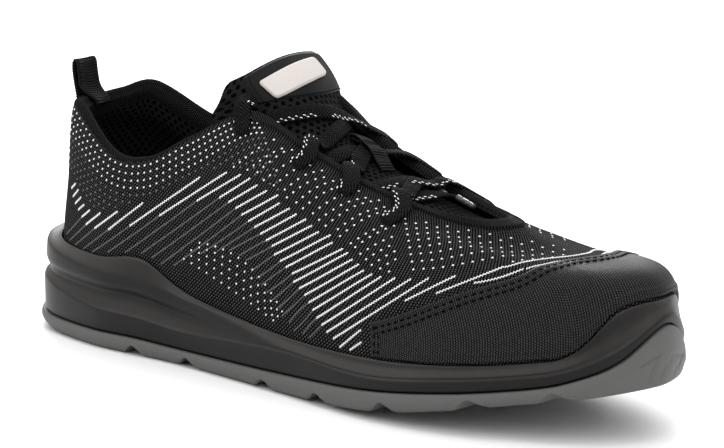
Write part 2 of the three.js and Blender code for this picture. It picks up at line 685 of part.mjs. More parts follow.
// The lace over the throat's upper corners, from the first eyelet of each side to the tongue
const LACE_CORNERS = {
  lace_corner_outer: [["upper", 5.75, 0.85, 1.1], ["upper", 5.84, 0.92, 1.9], ["upper", 5.98, 1.03, 2.4],
    ["tongue", 6.2, -0.74, 1.4]],
  lace_corner_inner: [["upper", 18.27, 0.83, 1.1], ["upper", 18.22, 0.88, 1.9], ["upper", 18.12, 0.95, 2.1],
    ["upper", 18.05, 0.99, 2.1]],
};

function laceCrossing(bars) {
  const [first, second] = bars.map((rows) => solid(band(rows, LACE_WIDTH, LACE_THICKNESS)));
  return geometryOf(first.add(second));
}

// Webbing loop on the tongue that the lace runs under.
const KEEPER_LINE = [["tongue", 4.68, 0.28, 0.9], ["tongue", 4.52, 0.25, 3.2], ["tongue", 4.2, 0.2, 4.1],
  ["tongue", 3.92, 0.16, 4], ["tongue", 3.7, 0.12, 2.5], ["tongue", 3.52, 0.1, 0.9]];

// Corners of the bare label on the tongue: front and rear of its outer side, then of its inner side.
const LABEL_CORNERS = [[5.98, -0.51], [6.54, -0.58], [6.45, 0.9], [6.82, 0.66]];

function label() {
  const { along, across } = LABEL_GRID;
  const [frontOuter, rearOuter, frontInner, rearInner] = LABEL_CORNERS.map((place) => new THREE.Vector2(...place));
  const sheet = (lift) => Array.from({ length: along + 1 }, (_, r) =>
    Array.from({ length: across + 1 }, (_, k) => {
      const front = frontOuter.clone().lerp(frontInner, k / across);
      const rear = rearOuter.clone().lerp(rearInner, k / across);
      const place = front.lerp(rear, r / along);
      return onTongue(place.x, place.y, lift).point;
    }));
  return plate(sheet(GAP + LABEL_THICKNESS), sheet(GAP));
}

// Pull loop at the heel, one folded strap: level on the upper with its side, then steps over the edge.
const LOOP_STATIONS = [-0.68, -0.34, 0, 0.34, 0.68];
const LOOP_OUTSIDE = [0.79, 0.87, 0.95];
const LOOP_OVER = [[-2.6, 4], [-2.8, 9], [-1.2, 12.6], [0.9, 13.4], [2.6, 11], [3.4, 6]]; // from the edge, in mm
const LOOP_INSIDE = [0.97, 0.9, 0.82];

function pullLoop() {
  const off = GAP + LOOP_THICKNESS / 2;
  const rows = [
    ...LOOP_OUTSIDE.map((v) => LOOP_STATIONS.map((t) => offUpper(t, v, off))),
    ...LOOP_OVER.map(([x, z]) => LOOP_STATIONS.map((t) => upperPoint(t, 1).add(new THREE.Vector3(x, 0, z)))),
    ...LOOP_INSIDE.map((v) => LOOP_STATIONS.map((t) => offUpper(t, v, -off - 2 * GAP - upperWall(t, v)))),
  ];
  return thickened(rows, LOOP_THICKNESS);
}

// Closed solid of even thickness about a grid of points.
function thickened(rows, thickness) {
  const normal = (r, k) => {
    const next = rows[r][Math.min(k + 1, rows[r].length - 1)].clone().sub(rows[r][Math.max(k - 1, 0)]);
    const above = rows[Math.min(r + 1, rows.length - 1)][k].clone().sub(rows[Math.max(r - 1, 0)][k]);
    return next.cross(above).normalize();
  };
  const sheet = (way) => rows.map((row, r) => row.map((p, k) =>
    p.clone().addScaledVector(normal(r, k), (way * thickness) / 2)));
  return plate(sheet(1), sheet(-1));
}

// The lace's free end in the front of the throat, from under the outer edge to its tip.
const LACE_END_LINE = [
  [182.5, -16.6, 75.6], [184.4, -14.4, 76], [186, -11.8, 76.2], [187.3, -8.9, 76.2], [188.4, -5.9, 76.2],
  [189.5, -2.9, 76.3], [190.6, 0.1, 76.4], [191.9, 3, 76.5], [193.6, 5.8, 76.5], [195.8, 8.2, 76.2],
  [198.2, 9.7, 75.8],
];
const LACE_END_FACING = [[0.35, -0.33, 0.88], [0.35, -0.1, 0.93], [0.3, -0.2, 0.93]];
const AGLET_LINES = {
  aglet_outer: [[199.5, 9.8, 75.6], [209.6, 7, 73.7]],
  aglet_inner: [[183.2, 13.4, 78.4], [193.6, 10.6, 75.9]],
};

function laceEnd() {
  const line = new THREE.CatmullRomCurve3(LACE_END_LINE.map((place) => new THREE.Vector3(...place)));
  const facing = new THREE.CatmullRomCurve3(LACE_END_FACING.map((way) => new THREE.Vector3(...way)));
  const width = (share) => THREE.MathUtils.lerp(LACE_WIDTH, AGLET_DIAMETER, blend(share, 0.6, 1));
  return strap(line, facing, LACE_END_LINE.length + 1, width, LACE_THICKNESS);
}

function aglet([from, to]) {
  const start = new THREE.Vector3(...from);
  const way = new THREE.Vector3(...to).sub(start);
  const radius = AGLET_DIAMETER / 2;
  const geometry = new THREE.CylinderGeometry(0.8 * radius, radius, way.length(), AGLET_SIDES);
  geometry.translate(0, way.length() / 2, 0);
  geometry.applyQuaternion(new THREE.Quaternion().setFromUnitVectors(
    THREE.Object3D.DEFAULT_UP,
    way.normalize(),
  ));
  return stripped(geometry.translate(start.x, start.y, start.z));
}

function stripped(geometry) {
  const bare = geometry.index ? geometry.toNonIndexed() : geometry.clone();
  bare.deleteAttribute("normal");
  bare.deleteAttribute("uv");
  return mergeVertices(bare, 0.001);
}

const materials = {
  rubber: new THREE.MeshStandardMaterial({ color: 0x77746f, roughness: 0.7, metalness: 0 }),
  foam: new THREE.MeshStandardMaterial({ color: 0x1b1b1c, roughness: 0.45, metalness: 0 }),
  knit: new THREE.MeshStandardMaterial({ color: 0x1c1d1f, roughness: 0.9, metalness: 0 }),
  guard: new THREE.MeshStandardMaterial({ color: 0x242424, roughness: 0.6, metalness: 0 }),
  lining: new THREE.MeshStandardMaterial({ color: 0x17181a, roughness: 0.95, metalness: 0 }),
  lace: new THREE.MeshStandardMaterial({ color: 0x1a1917, roughness: 0.85, metalness: 0 }),
  label: new THREE.MeshStandardMaterial({ color: 0xe8e2dc, roughness: 0.6, metalness: 0 }),
};

const shoe = new THREE.Group();
shoe.position.x = -HEEL_CENTRE;

function add(name, geometry, material) {
  const mesh = new THREE.Mesh(geometry, material);
  mesh.name = name;
  shoe.add(mesh);
}

add("outsole", outsole(), materials.rubber);
add("midsole", midsole(), materials.foam);
add("insole", insole(), materials.lining);
add("upper", upperWithEyelets(), materials.knit);
add("toe_guard", toeGuard(), materials.guard);
add("throat_binding", throatBinding(), materials.guard);
add("tongue", tongue(), materials.lining);
add("tongue_label", label(), materials.label);
add("lace_keeper", band(KEEPER_LINE, KEEPER_WIDTH, WEBBING_THICKNESS), materials.guard);
add("pull_loop", pullLoop(), materials.guard);
for (const [name, bars] of Object.entries(LACE_CROSSINGS)) add(name, laceCrossing(bars), materials.lace);
for (const [name, rows] of Object.entries(LACE_CORNERS)) {
  add(name, band(rows, LACE_WIDTH, LACE_THICKNESS), materials.lace);
}
add("lace_end", laceEnd(), materials.lace);
for (const [name, line] of Object.entries(AGLET_LINES)) add(name, aglet(line), materials.label);

const part = new THREE.Group();
part.add(shoe);

export default part;
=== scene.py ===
"""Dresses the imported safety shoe: knit, laces, webbing, foam and rubber in the frame of the CAD part."""
import math

import bpy
import numpy as np
from mathutils import Matrix, Vector


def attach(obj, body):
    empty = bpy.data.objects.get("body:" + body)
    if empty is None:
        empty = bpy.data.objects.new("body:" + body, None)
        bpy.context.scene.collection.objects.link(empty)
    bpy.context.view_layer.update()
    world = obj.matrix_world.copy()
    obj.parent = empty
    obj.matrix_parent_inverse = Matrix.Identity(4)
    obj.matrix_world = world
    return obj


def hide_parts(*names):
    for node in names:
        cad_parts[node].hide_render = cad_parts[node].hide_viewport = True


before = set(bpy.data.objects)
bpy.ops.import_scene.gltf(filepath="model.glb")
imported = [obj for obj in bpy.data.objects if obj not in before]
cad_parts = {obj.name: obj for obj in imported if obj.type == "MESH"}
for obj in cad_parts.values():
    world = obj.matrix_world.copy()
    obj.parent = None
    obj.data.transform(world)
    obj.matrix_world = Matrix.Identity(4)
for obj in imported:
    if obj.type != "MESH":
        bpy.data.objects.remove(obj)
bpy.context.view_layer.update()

MM = 0.001
HEEL_CENTRE = 40  # mm from the plan's origin to the frame's origin

# Camera, measured on the photo
AZIMUTH = math.radians(37)
ELEVATION = math.radians(12.2)
ROLL = math.radians(-1.93)
DISTANCE = 1.5
TARGET = Vector((0.11, 0, 0.05))
LENS = 189
PHOTO_WIDTH = 724
CENTRE_SHIFT = (23.4, 22)  # pixels of the photo from the axis of the lens to the photo's centre

# Driving dimensions of the part's source, in mm
LENGTH = 300
BALL_WIDTH = 110
SOLE_HEIGHT = 40
INSTEP_HEIGHT = 104
GAP = 0.3
OUTSOLE_THICKNESS = 5
OUTSOLE_RIM = 3.4
TREAD_CHAMFER = 2.6
RUBBER_BULGE = 0.4
EDGE_ROUND = 0.6
UPPER_WALL = 2.4
COLLAR_PAD = 4
LIP_CLEARANCE = 0.8
INSOLE_THICKNESS = 4
INSOLE_RISE = 4
INSOLE_DISH = 8
GUARD_THICKNESS = 1.1
BINDING_WIDTH = 7
BINDING_THICKNESS = 0.9
TONGUE_THICKNESS = 5
LOOP_THICKNESS = 1.5
LACE_WIDTH = 7
LACE_THICKNESS = 1.1
AGLET_DIAMETER = 3
KEEPER_WIDTH = 8
WEBBING_THICKNESS = 0.9
LABEL_THICKNESS = 0.8
SECTIONS = 12
LOOP_SECTIONS = 24
STEP = 0.01

SOLE = dict(zip(
    ("x", "outer", "inner", "tread", "rubber", "ledge", "band", "rim", "lip", "bed", "foot", "grooveIn", "bandIn", "rimIn"),
    np.array([
    [0.02, 0, 0, 0.125, 0.212, 0.588, 0.638, 0.95, 1.012, 0.6, 0.077, 0.032, 0.011, 0.014],
    [0.04, 0.168, 0.168, 0.075, 0.188, 0.57, 0.615, 0.925, 0.988, 0.6, 0.073, 0.032, 0.011, 0.014],
    [0.09, 0.291, 0.286, 0.01, 0.165, 0.525, 0.59, 0.862, 0.938, 0.6, 0.064, 0.032, 0.009, 0.013],
    [0.187, 0.364, 0.336, 0, 0.165, 0.43, 0.58, 0.795, 0.925, 0.595, 0.05, 0.032, 0.007, 0.011],
    [0.267, 0.368, 0.318, 0, 0.17, 0.412, 0.578, 0.772, 0.98, 0.562, 0.048, 0.032, 0.007, 0.011],
    [0.353, 0.371, 0.309, 0, 0.155, 0.368, 0.5, 0.68, 0.718, 0.488, 0.048, 0.027, 0.011, 0.015],
    [0.527, 0.435, 0.391, 0, 0.193, 0.44, 0.46, 0.53, 0.565, 0.37, 0.048, 0.009, 0.016, 0.027],
    [0.683, 0.505, 0.491, 0.075, 0.275, 0.425, 0.437, 0.522, 0.585, 0.35, 0.048, 0.011, 0.018, 0.027],
    [0.8, 0.473, 0.495, 0.215, 0.38, 0.525, 0.54, 0.605, 0.648, 0.425, 0.048, 0.011, 0.018, 0.027],
    [0.89, 0.359, 0.441, 0.34, 0.48, 0.62, 0.635, 0.695, 0.73, 0.512, 0.048, 0.011, 0.018, 0.027],
    [0.943, 0.282, 0.373, 0.405, 0.588, 0.725, 0.75, 0.812, 0.85, 0.588, 0.048, 0.013, 0.019, 0.027],
    [0.986, 0.164, 0.245, 0.465, 0.765, 0.925, 0.975, 1.1, 1.24, 0.638, 0.05, 0.016, 0.023, 0.029],
    [1.012, -0.027, 0.027, 0.5, 1.088, 1.208, 1.232, 1.288, 1.325, 0.65, 0.05, 0.018, 0.025, 0.031],
    ]).T))
OPENING = dict(zip(
    ("x", "outer", "inner", "outerHeight", "innerHeight"),
    np.array([
    [0.066, 0, 0, 0.904, 0.904],
    [0.08, 0.118, 0.118, 0.914, 0.925],
    [0.115, 0.227, 0.227, 0.913, 0.952],
    [0.2, 0.3, 0.291, 0.774, 0.837],
    [0.26, 0.3, 0.291, 0.774, 0.822],
    [0.323, 0.273, 0.273, 0.875, 0.899],
    [0.403, 0.209, 0.245, 0.99, 1.015],
    [0.48, 0.182, 0.195, 0.904, 0.913],
    [0.56, 0.168, 0.177, 0.812, 0.817],
    [0.633, 0.155, 0.164, 0.75, 0.75],
    [0.697, 0.127, 0.136, 0.712, 0.706],
    [0.743, 0.073, 0.091, 0.697, 0.692],
    [0.763, -0.009, 0.009, 0.698, 0.698],
    ]).T))
SIDE = dict(zip(
    ("in1", "height1", "in2", "height2", "in3", "height3", "in4", "height4"),
    np.array([
    [0.09, 0.433, 0.107, 0.596, 0.112, 0.75, 0.12, 0.846],
    [0.083, 0.433, 0.1, 0.596, 0.106, 0.75, 0.112, 0.846],
    [0.067, 0.433, 0.076, 0.596, 0.08, 0.74, 0.085, 0.837],
    [0.045, 0.433, 0.045, 0.538, 0.053, 0.635, 0.062, 0.721],
    [0.041, 0.433, 0.042, 0.538, 0.047, 0.635, 0.057, 0.721],
    [0.032, 0.404, 0.041, 0.538, 0.064, 0.673, 0.094, 0.788],
    [0.036, 0.346, 0.086, 0.538, 0.173, 0.731, 0.282, 0.885],
    [0.045, 0.337, 0.155, 0.529, 0.3, 0.673, 0.473, 0.798],
    [0.045, 0.365, 0.164, 0.538, 0.336, 0.639, 0.527, 0.721],
    [0.045, 0.394, 0.136, 0.548, 0.309, 0.625, 0.518, 0.673],
    [0.045, 0.413, 0.118, 0.566, 0.291, 0.615, 0.491, 0.64],
    [0.045, 0.447, 0.1, 0.577, 0.273, 0.611, 0.473, 0.627],
    [0.041, 0.462, 0.095, 0.577, 0.264, 0.615, 0.464, 0.63],
    ]).T))
TONGUE = dict(zip(
    ("x", "height", "half", "crown", "tilt", "shift"),
    np.array([
    [0.79, 0.63, 0.155, 0.027, 0, 0.009],
    [0.745, 0.66, 0.191, 0.036, 0, 0.009],
    [0.683, 0.68, 0.214, 0.045, 0, 0.009],
    [0.607, 0.745, 0.227, 0.068, 0, 0.009],
    [0.533, 0.832, 0.236, 0.095, 0, 0.014],
    [0.48, 0.92, 0.241, 0.118, 0.01, 0.018],
    [0.427, 1.065, 0.25, 0.125, 0.03, 0.035],
    [0.38, 1.165, 0.255, 0.09, 0.045, 0.045],
    ]).T))
INNER_DROP = np.array([
    [0, 0, 0],
    [0, 0, 0],
    [0, 0, 0],
    [0, 0, 0],
    [0, 0, 0],
    [0, 0, 0],
    [0, 0, 0],
    [0.01, 0.01, 0],
    [0.034, 0.034, 0.019],
    [0.038, 0.043, 0.029],
    [0.029, 0.034, 0.024],
    [0.014, 0.014, 0.01],
    [0, 0, 0],
]).T


def unit(vectors):
    return vectors / np.maximum(np.linalg.norm(vectors, axis=-1, keepdims=True), 1e-12)


def blend(x, low, high):
    share = np.clip((x - low) / (high - low), 0, 1)
    return share * share * (3 - 2 * share)


def smooth_step(a, b, c, d, f):
    return b + 0.5 * f * ((c - a) + f * ((2 * a - 5 * b + 4 * c - d) + f * (3 * b - a - 3 * c + d)))


def smooth_loop(values, t):
    start = np.floor(t).astype(int)
    return smooth_step(*(values[(start + k) % len(values)] for k in (-1, 0, 1, 2)), t - start)


def smooth_open(values, s):
    values = np.asarray(values, float)
    start = np.clip(np.floor(s).astype(int), 0, len(values) - 2)
    f = s - start
    longer = np.concatenate([[2 * values[0] - values[1]], values, [2 * values[-1] - values[-2]]])
    if values.ndim > 1:
        f = f[..., None]
    return smooth_step(*(longer[start + k] for k in range(4)), f)


def around(outer, inner):
    return np.concatenate([outer, inner[1:-1][::-1]])


PLAN_X = around(SOLE["x"], SOLE["x"])
PLAN_Y = around(-SOLE["outer"], SOLE["inner"])
RAILS = {name: around(values, values) for name, values in SOLE.items()}
EDGE = [(around(OPENING["x"], OPENING["x"]), LENGTH),
        (around(-OPENING["outer"], OPENING["inner"]), BALL_WIDTH),
        (around(OPENING["outerHeight"], OPENING["innerHeight"]), INSTEP_HEIGHT)]
STEP_IN = [around(SIDE[f"in{k}"], SIDE[f"in{k}"]) for k in (1, 2, 3, 4)]
STEP_HEIGHT = [around(SIDE[f"height{k}"], SIDE[f"height{k}"] - (0 if k == 1 else INNER_DROP[k - 2]))
               for k in (1, 2, 3, 4)]


def plan(t):
    return np.stack([smooth_loop(PLAN_X, t) * LENGTH, smooth_loop(PLAN_Y, t) * BALL_WIDTH], -1)


def inward(t):
    along = unit(plan(t + 0.001) - plan(t - 0.001))
    return np.stack([-along[..., 1], along[..., 0]], -1)


def sole_height(name, t):
    return smooth_loop(RAILS[name], t) * SOLE_HEIGHT


def inset(name, t):
    return smooth_loop(RAILS[name], t) * BALL_WIDTH


def tread_height(t):
    return np.maximum(0, sole_height("tread", t))


def ring_point(t, way, height):
    flat = plan(t) + inward(t) * np.asarray(way)[..., None]
    return np.concatenate([flat, np.broadcast_to(height, flat.shape[:-1])[..., None]], -1)


def edge(t):
    return np.stack([smooth_loop(values, t) * size for values, size in EDGE], -1)


def upper_point(t, v):
    """Outer face of the upper: t goes round the shoe from behind the heel, v from 0 at its foot to 1."""
    t, v = np.broadcast_arrays(np.asarray(t, float), np.asarray(v, float))
    top = edge(t)
    first = smooth_loop(STEP_IN[0], t) * BALL_WIDTH
    wall = ring_point(t, first, 0)
    towards = top - wall
    towards[..., 2] = 0
    towards = unit(towards)
    steps = []
    for ways, heights in zip(STEP_IN, STEP_HEIGHT):
        place = wall + towards * (smooth_loop(ways, t) * BALL_WIDTH - first)[..., None]
        place[..., 2] = smooth_loop(heights, t) * INSTEP_HEIGHT
        steps.append(place)
    foot = ring_point(t, inset("foot", t), sole_height("bed", t) + GAP)
    line = [foot, *steps, top]
    line = np.stack([2 * line[0] - line[1], *line, 2 * line[-1] - line[-2]])
    start = np.clip(np.floor(v * 5).astype(int), 0, 4)
    near = [np.take_along_axis(line, (start + k)[None, ..., None], 0)[0] for k in range(4)]
    return smooth_step(*near, (v * 5 - start)[..., None])


def upper_normal(t, v):
    high = np.minimum(v + STEP, 1)
    low = np.maximum(high - 2 * STEP, 0)
    return unit(np.cross(upper_point(t + STEP, v) - upper_point(t - STEP, v),
                         upper_point(t, high) - upper_point(t, low)))


def off_upper(t, v, distance):
    return upper_point(t, v) + upper_normal(t, v) * np.asarray(distance)[..., None]


def level_at(t, height):
    low, high = np.zeros_like(t), np.full_like(t, 0.5)
    for _ in range(16):
        middle = (low + high) / 2
        under = upper_point(t, middle)[..., 2] < height
        low, high = np.where(under, middle, low), np.where(under, high, middle)
    return (low + high) / 2


def upper_way(t, height):
    place = upper_point(t, level_at(t, height))
    return ((place[..., :2] - plan(t)) * inward(t)).sum(-1)


def upper_wall(t, v):
    from_heel = np.minimum(t, LOOP_SECTIONS - t)
    near_edge = blend(v, 0.5, 0.8) * (1 - 0.5 * blend(v, 0.92, 1))
    return UPPER_WALL + COLLAR_PAD * (1 - blend(from_heel, 4.5, 6)) * near_edge


def tongue_point(s, w, depth=0.0):
    s, w = np.broadcast_arrays(np.asarray(s, float), np.asarray(w, float))

    def at(name, place=s):
        return smooth_open(TONGUE[name], place)

    run = np.stack([at("x", s + STEP) - at("x", s - STEP), at("height", s + STEP) - at("height", s - STEP)], -1)
    run = unit(run * (LENGTH, INSTEP_HEIGHT))
    down = np.stack([run[..., 1], -run[..., 0]], -1) * np.where(run[..., :1] < 0, -1, 1)
    fall = at("crown") * BALL_WIDTH * w * w - at("tilt") * BALL_WIDTH * w + depth
    return np.stack([at("x") * LENGTH + down[..., 0] * fall, (at("shift") + at("half") * w) * BALL_WIDTH,
                     at("height") * INSTEP_HEIGHT + down[..., 1] * fall], -1)


def tongue_normal(s, w):
    return unit(np.cross(tongue_point(s, w + STEP) - tongue_point(s, w - STEP),
                         tongue_point(s + STEP, w) - tongue_point(s - STEP, w)))


def on_tongue(s, w, lift):
    return tongue_point(s, w) + tongue_normal(s, w) * np.asarray(lift)[..., None]


def placed(rows):
    """Points and facings of rows of places: the surface, two numbers on it, and the lift off it."""
    points, facings = [], []
    for surface, along, across, lift in rows:
        at, facing = (tongue_point, tongue_normal) if surface == "tongue" else (upper_point, upper_normal)
        facings.append(facing(along, across))
        points.append(at(along, across) + facings[-1] * lift)
    return np.array(points), np.array(facings)


def run_lengths(points):
    return np.concatenate([[0], np.cumsum(np.linalg.norm(np.diff(points, axis=0), axis=1))])


def evenly(points, pitch):
    """Places along a line of points at an even pitch."""
    lengths = run_lengths(points)
    wanted = np.linspace(0, lengths[-1], max(2, round(lengths[-1] / pitch) + 1))
    return np.stack([np.interp(wanted, lengths, column) for column in points.T], -1)


def grid_faces(rows, columns, wraps=False):
    r = np.arange(rows - 1)[:, None] * columns
    k = np.arange(columns if wraps else columns - 1)[None]
    right = (k + 1) % columns
    return np.stack([r + k, r + right, r + columns + right, r + columns + k], -1).reshape(-1, 4)


def piece(name, points, faces, material, slot, uv=None, uv_faces=None, replaced=()):
    """A mesh object of the scene that rides with the shoe; points in mm from the plan's origin."""
    mesh = bpy.data.meshes.new(name)
    points = (np.asarray(points).reshape(-1, 3) - (HEEL_CENTRE, 0, 0)) * MM
    mesh.vertices.add(len(points))
    mesh.vertices.foreach_set("co", points.ravel())
    mesh.loops.add(faces.size)
    mesh.loops.foreach_set("vertex_index", faces.ravel())
    mesh.polygons.add(len(faces))
    mesh.polygons.foreach_set("loop_start", np.arange(0, faces.size, faces.shape[1]))
    mesh.polygons.foreach_set("use_smooth", np.ones(len(faces), bool))
    if uv is not None:
        layer = mesh.uv_layers.new(name="cloth")
        layer.data.foreach_set("uv", (uv.reshape(-1, 2)[faces if uv_faces is None else uv_faces] * MM).ravel())
    mesh.update(calc_edges=True)
    mesh.materials.append(material)
    made = bpy.data.objects.new(name, mesh)
    bpy.context.scene.collection.objects.link(made)
    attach(made, "root")
    if replaced:
        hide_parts(*replaced)
    return made


def sheet_piece(name, grid, uv, material, slot, wraps=False, replaced=()):
    rows, columns = grid.shape[:2]
    faces = grid_faces(rows, columns, wraps)
    return piece(name, grid, faces, material, slot, uv, grid_faces(rows, uv.shape[1]), replaced)


def surface_uv(grid, wraps=False):
    """Arc lengths in mm along the middle row of a grid of points and up each of its columns."""
    if wraps:
        grid = np.concatenate([grid, grid[:, :1]], 1)
    along = run_lengths(grid[len(grid) // 2])
    up = np.linalg.norm(np.diff(grid, axis=0), axis=2).cumsum(0)
    up = np.concatenate([np.zeros((1, grid.shape[1])), up])
    return np.stack([np.broadcast_to(along, up.shape), up], -1)


def joined(parts):
    points, faces, start = [], [], 0
    for some, their_faces in parts:
        points.append(some)
        faces.append(their_faces + start)
        start += len(some)
    return np.concatenate(points), np.concatenate(faces)


def tube(points, facings, width, thickness, ends=True, flat=3.0, sides=16, ribs=(0, 1)):
    """Flat band with round edges along a line; ribs is the depth and the pitch of its cross ribs."""
    along = unit(np.gradient(points, axis=0))
    side = unit(np.cross(facings, along))
    up = np.cross(along, side)
    angle = np.arange(sides) * 2 * np.pi / sides + np.pi / sides
    across = np.sign(np.cos(angle)) * np.abs(np.cos(angle)) ** (2 / flat)
    height = np.sign(np.sin(angle)) * np.abs(np.sin(angle)) ** (2 / flat)
    lengths = run_lengths(points)
    depth, pitch = ribs
    swell = 1 + depth * np.cos(lengths * 2 * np.pi / pitch)
    close = np.ones(len(points))
    if ends:
        close[[0, -1]] = 0.02
    half = np.broadcast_to(width, len(points)) / 2
    rings = (points[:, None] + side[:, None] * (half * close)[:, None, None] * across[None, :, None]
             + up[:, None] * (thickness / 2 * swell * close)[:, None, None] * height[None, :, None])
    uv = np.stack([np.broadcast_to(across[None] * LACE_WIDTH / 2 + LACE_WIDTH / 2, rings.shape[:2]),
                   np.broadcast_to(lengths[:, None], rings.shape[:2])], -1)
    return rings.reshape(-1, 3), grid_faces(len(points), sides, True), uv.reshape(-1, 2)


def spline(points, facings, pitch=0.5):
    """The same line with even close points, and its facings."""
    share = np.linspace(0, len(points) - 1, 40 * len(points))
    line = smooth_open(points, share)
    lengths = run_lengths(line)
    wanted = np.linspace(0, lengths[-1], max(4, round(lengths[-1] / pitch) + 1))
    places = np.interp(wanted, lengths, share)
    facing_share = places * (len(facings) - 1) / (len(points) - 1)
    return smooth_open(points, places), unit(smooth_open(facings, facing_share))


def beads(centres, normals, ways, length, width, height):
    """Small domed stitches: each at its centre, along its way, standing on its surface."""
    sides = 8
    angle = np.arange(sides) * 2 * np.pi / sides
    rings = [(1, -0.2), (0.8, 0.7), (0.001, 1)]
    shape = np.array([(r * np.cos(a) * length / 2, r * np.sin(a) * width / 2, h * height)
                      for r, h in rings for a in angle])
    ways = unit(ways - normals * (ways * normals).sum(-1, keepdims=True))
    side = np.cross(normals, ways)
    points = (centres[:, None] + ways[:, None] * shape[None, :, :1] + side[:, None] * shape[None, :, 1:2]
              + normals[:, None] * shape[None, :, 2:])
    faces = grid_faces(len(rings), sides, True)
    starts = np.arange(len(centres))[:, None, None] * len(shape)
    return points.reshape(-1, 3), (faces[None] + starts).reshape(-1, 4)


def thread(points, normals, width, height):
    """Raised thread lying on a surface along points."""
    along = unit(np.gradient(points, axis=0))
    side = unit(np.cross(normals, along)) * width / 2
    rows = np.stack([points - side - normals * 0.1, points - side * 0.6 + normals * height,
                     points + side * 0.6 + normals * height, points + side - normals * 0.1], 1)
    return rows.reshape(-1, 3), grid_faces(len(points), 4)


def camera():
    back = Vector((math.sin(AZIMUTH) * math.cos(ELEVATION), -math.cos(AZIMUTH) * math.cos(ELEVATION),
                   math.sin(ELEVATION)))
    level = Vector((math.cos(AZIMUTH), math.sin(AZIMUTH), 0))
    upright = back.cross(level)
    right = level * math.cos(ROLL) - upright * math.sin(ROLL)
    up = level * math.sin(ROLL) + upright * math.cos(ROLL)
    data = bpy.data.cameras.new("camera")
    data.lens = LENS
    data.sensor_width = 36
    data.shift_x = CENTRE_SHIFT[0] / PHOTO_WIDTH
    data.shift_y = CENTRE_SHIFT[1] / PHOTO_WIDTH
    eye = bpy.data.objects.new("camera", data)
    eye.matrix_world = Matrix.Translation(TARGET + back * DISTANCE) @ Matrix(
        (right, up, back)).transposed().to_4x4()
    bpy.context.scene.collection.objects.link(eye)
    bpy.context.scene.camera = eye


class Paint:
    """A material and short ways to add its nodes."""

    def __init__(self, name, colour, roughness, specular=0.4):
        self.material = bpy.data.materials.new(name)
        self.material.use_nodes = True
        self.tree = self.material.node_tree
        self.shader = self.tree.nodes["Principled BSDF"]
        self.shader.inputs["Base Color"].default_value = (*colour, 1)
        self.shader.inputs["Roughness"].default_value = roughness
        self.shader.inputs["Specular IOR Level"].default_value = specular

    def math(self, operation, a, b=0.0, c=0.0):
        node = self.tree.nodes.new("ShaderNodeMath")
        node.operation = operation
        for socket, value in zip(node.inputs, (a, b, c)):
            if isinstance(value, (int, float)):
                socket.default_value = value
            else:
                self.tree.links.new(value, socket)
        return node.outputs[0]

    def cloth(self):
        """The two arc lengths of the cloth's own UV map."""
        uv = self.tree.nodes.new("ShaderNodeUVMap")
        uv.uv_map = "cloth"
        split = self.tree.nodes.new("ShaderNodeSeparateXYZ")
        self.tree.links.new(uv.outputs[0], split.inputs[0])
        return split.outputs[0], split.outputs[1]

    def place(self):
        return self.tree.nodes.new("ShaderNodeTexCoord").outputs["Object"]

    def noise(self, size, detail=2.0):
        """Noise of a grain size in metres, from 0 to 1."""
        node = self.tree.nodes.new("ShaderNodeTexNoise")
        node.inputs["Scale"].default_value = 1 / size
        node.inputs["Detail"].default_value = detail
        self.tree.links.new(self.place(), node.inputs["Vector"])
        return node.outputs[0]

    def turned(self, u, v, angle):
        """The coordinate along a way at an angle to the cloth's first axis."""
        return self.math("ADD", self.math("MULTIPLY", u, math.cos(angle)), self.math("MULTIPLY", v, math.sin(angle)))

    def wave(self, coordinate, pitch, shift=None):
        """Smooth wave from 0 to 1 of a pitch in metres."""
        phase = self.math("MULTIPLY", coordinate, 2 * math.pi / pitch)
        if shift is not None:
            phase = self.math("ADD", phase, shift)
        return self.math("MULTIPLY_ADD", self.math("SINE", phase), 0.5, 0.5)

    def cell_turn(self, coordinate, pitch):
        """Half a turn more in every other row of a pitch."""
        row = self.math("FLOOR", self.math("DIVIDE", coordinate, pitch))
        return self.math("MULTIPLY", row, math.pi)

    def ramp(self, value, low, high):
        node = self.tree.nodes.new("ShaderNodeMapRange")
        node.inputs["From Min"].default_value = low
        node.inputs["From Max"].default_value = high
        self.tree.links.new(value, node.inputs["Value"])
        return node.outputs["Result"]

    def colour(self, value, dark, light):
        mix = self.tree.nodes.new("ShaderNodeMix")
        mix.data_type = "RGBA"
        mix.inputs[6].default_value = (*dark, 1)
        mix.inputs[7].default_value = (*light, 1)
        self.tree.links.new(value, mix.inputs[0])
        self.tree.links.new(mix.outputs[2], self.shader.inputs["Base Color"])

    def bump(self, height, depth):
        node = self.tree.nodes.new("ShaderNodeBump")
        node.inputs["Distance"].default_value = depth
        node.inputs["Strength"].default_value = 1
        self.tree.links.new(height, node.inputs["Height"])
        self.tree.links.new(node.outputs[0], self.shader.inputs["Normal"])

    def sheen(self, weight, roughness=0.5):
        self.shader.inputs["Sheen Weight"].default_value = weight
        self.shader.inputs["Sheen Roughness"].default_value = roughness


def rib_cloth(name, dark, light, angle, rib, stroke, depth, roughness=0.85, specular=0.03):
    """Knit of short strokes in ribs that run at an angle across the cloth, painted darker in the grooves between them
    as shade.
    """
    paint = Paint(name, light, roughness, specular)
    u, v = paint.cloth()
    along = paint.turned(u, v, angle)
    across = paint.turned(u, v, angle - math.pi / 2)
    ribs = paint.wave(across, rib)
    strokes = paint.wave(along, stroke, paint.cell_turn(across, rib))
    relief = paint.math("MULTIPLY", ribs, paint.math("MULTIPLY_ADD", strokes, 0.8, 0.2))
    # Painted shade: the colour is darkest in the grooves between ribs and strokes, mottled by noise.
    painted_light_and_mottle = paint.math("MULTIPLY", relief, paint.math("MULTIPLY_ADD", paint.noise(0.0012), 1.2, 0.4))
    paint.colour(paint.ramp(painted_light_and_mottle, 0.2, 0.7), dark, light)
    paint.bump(relief, depth)
    return paint.material


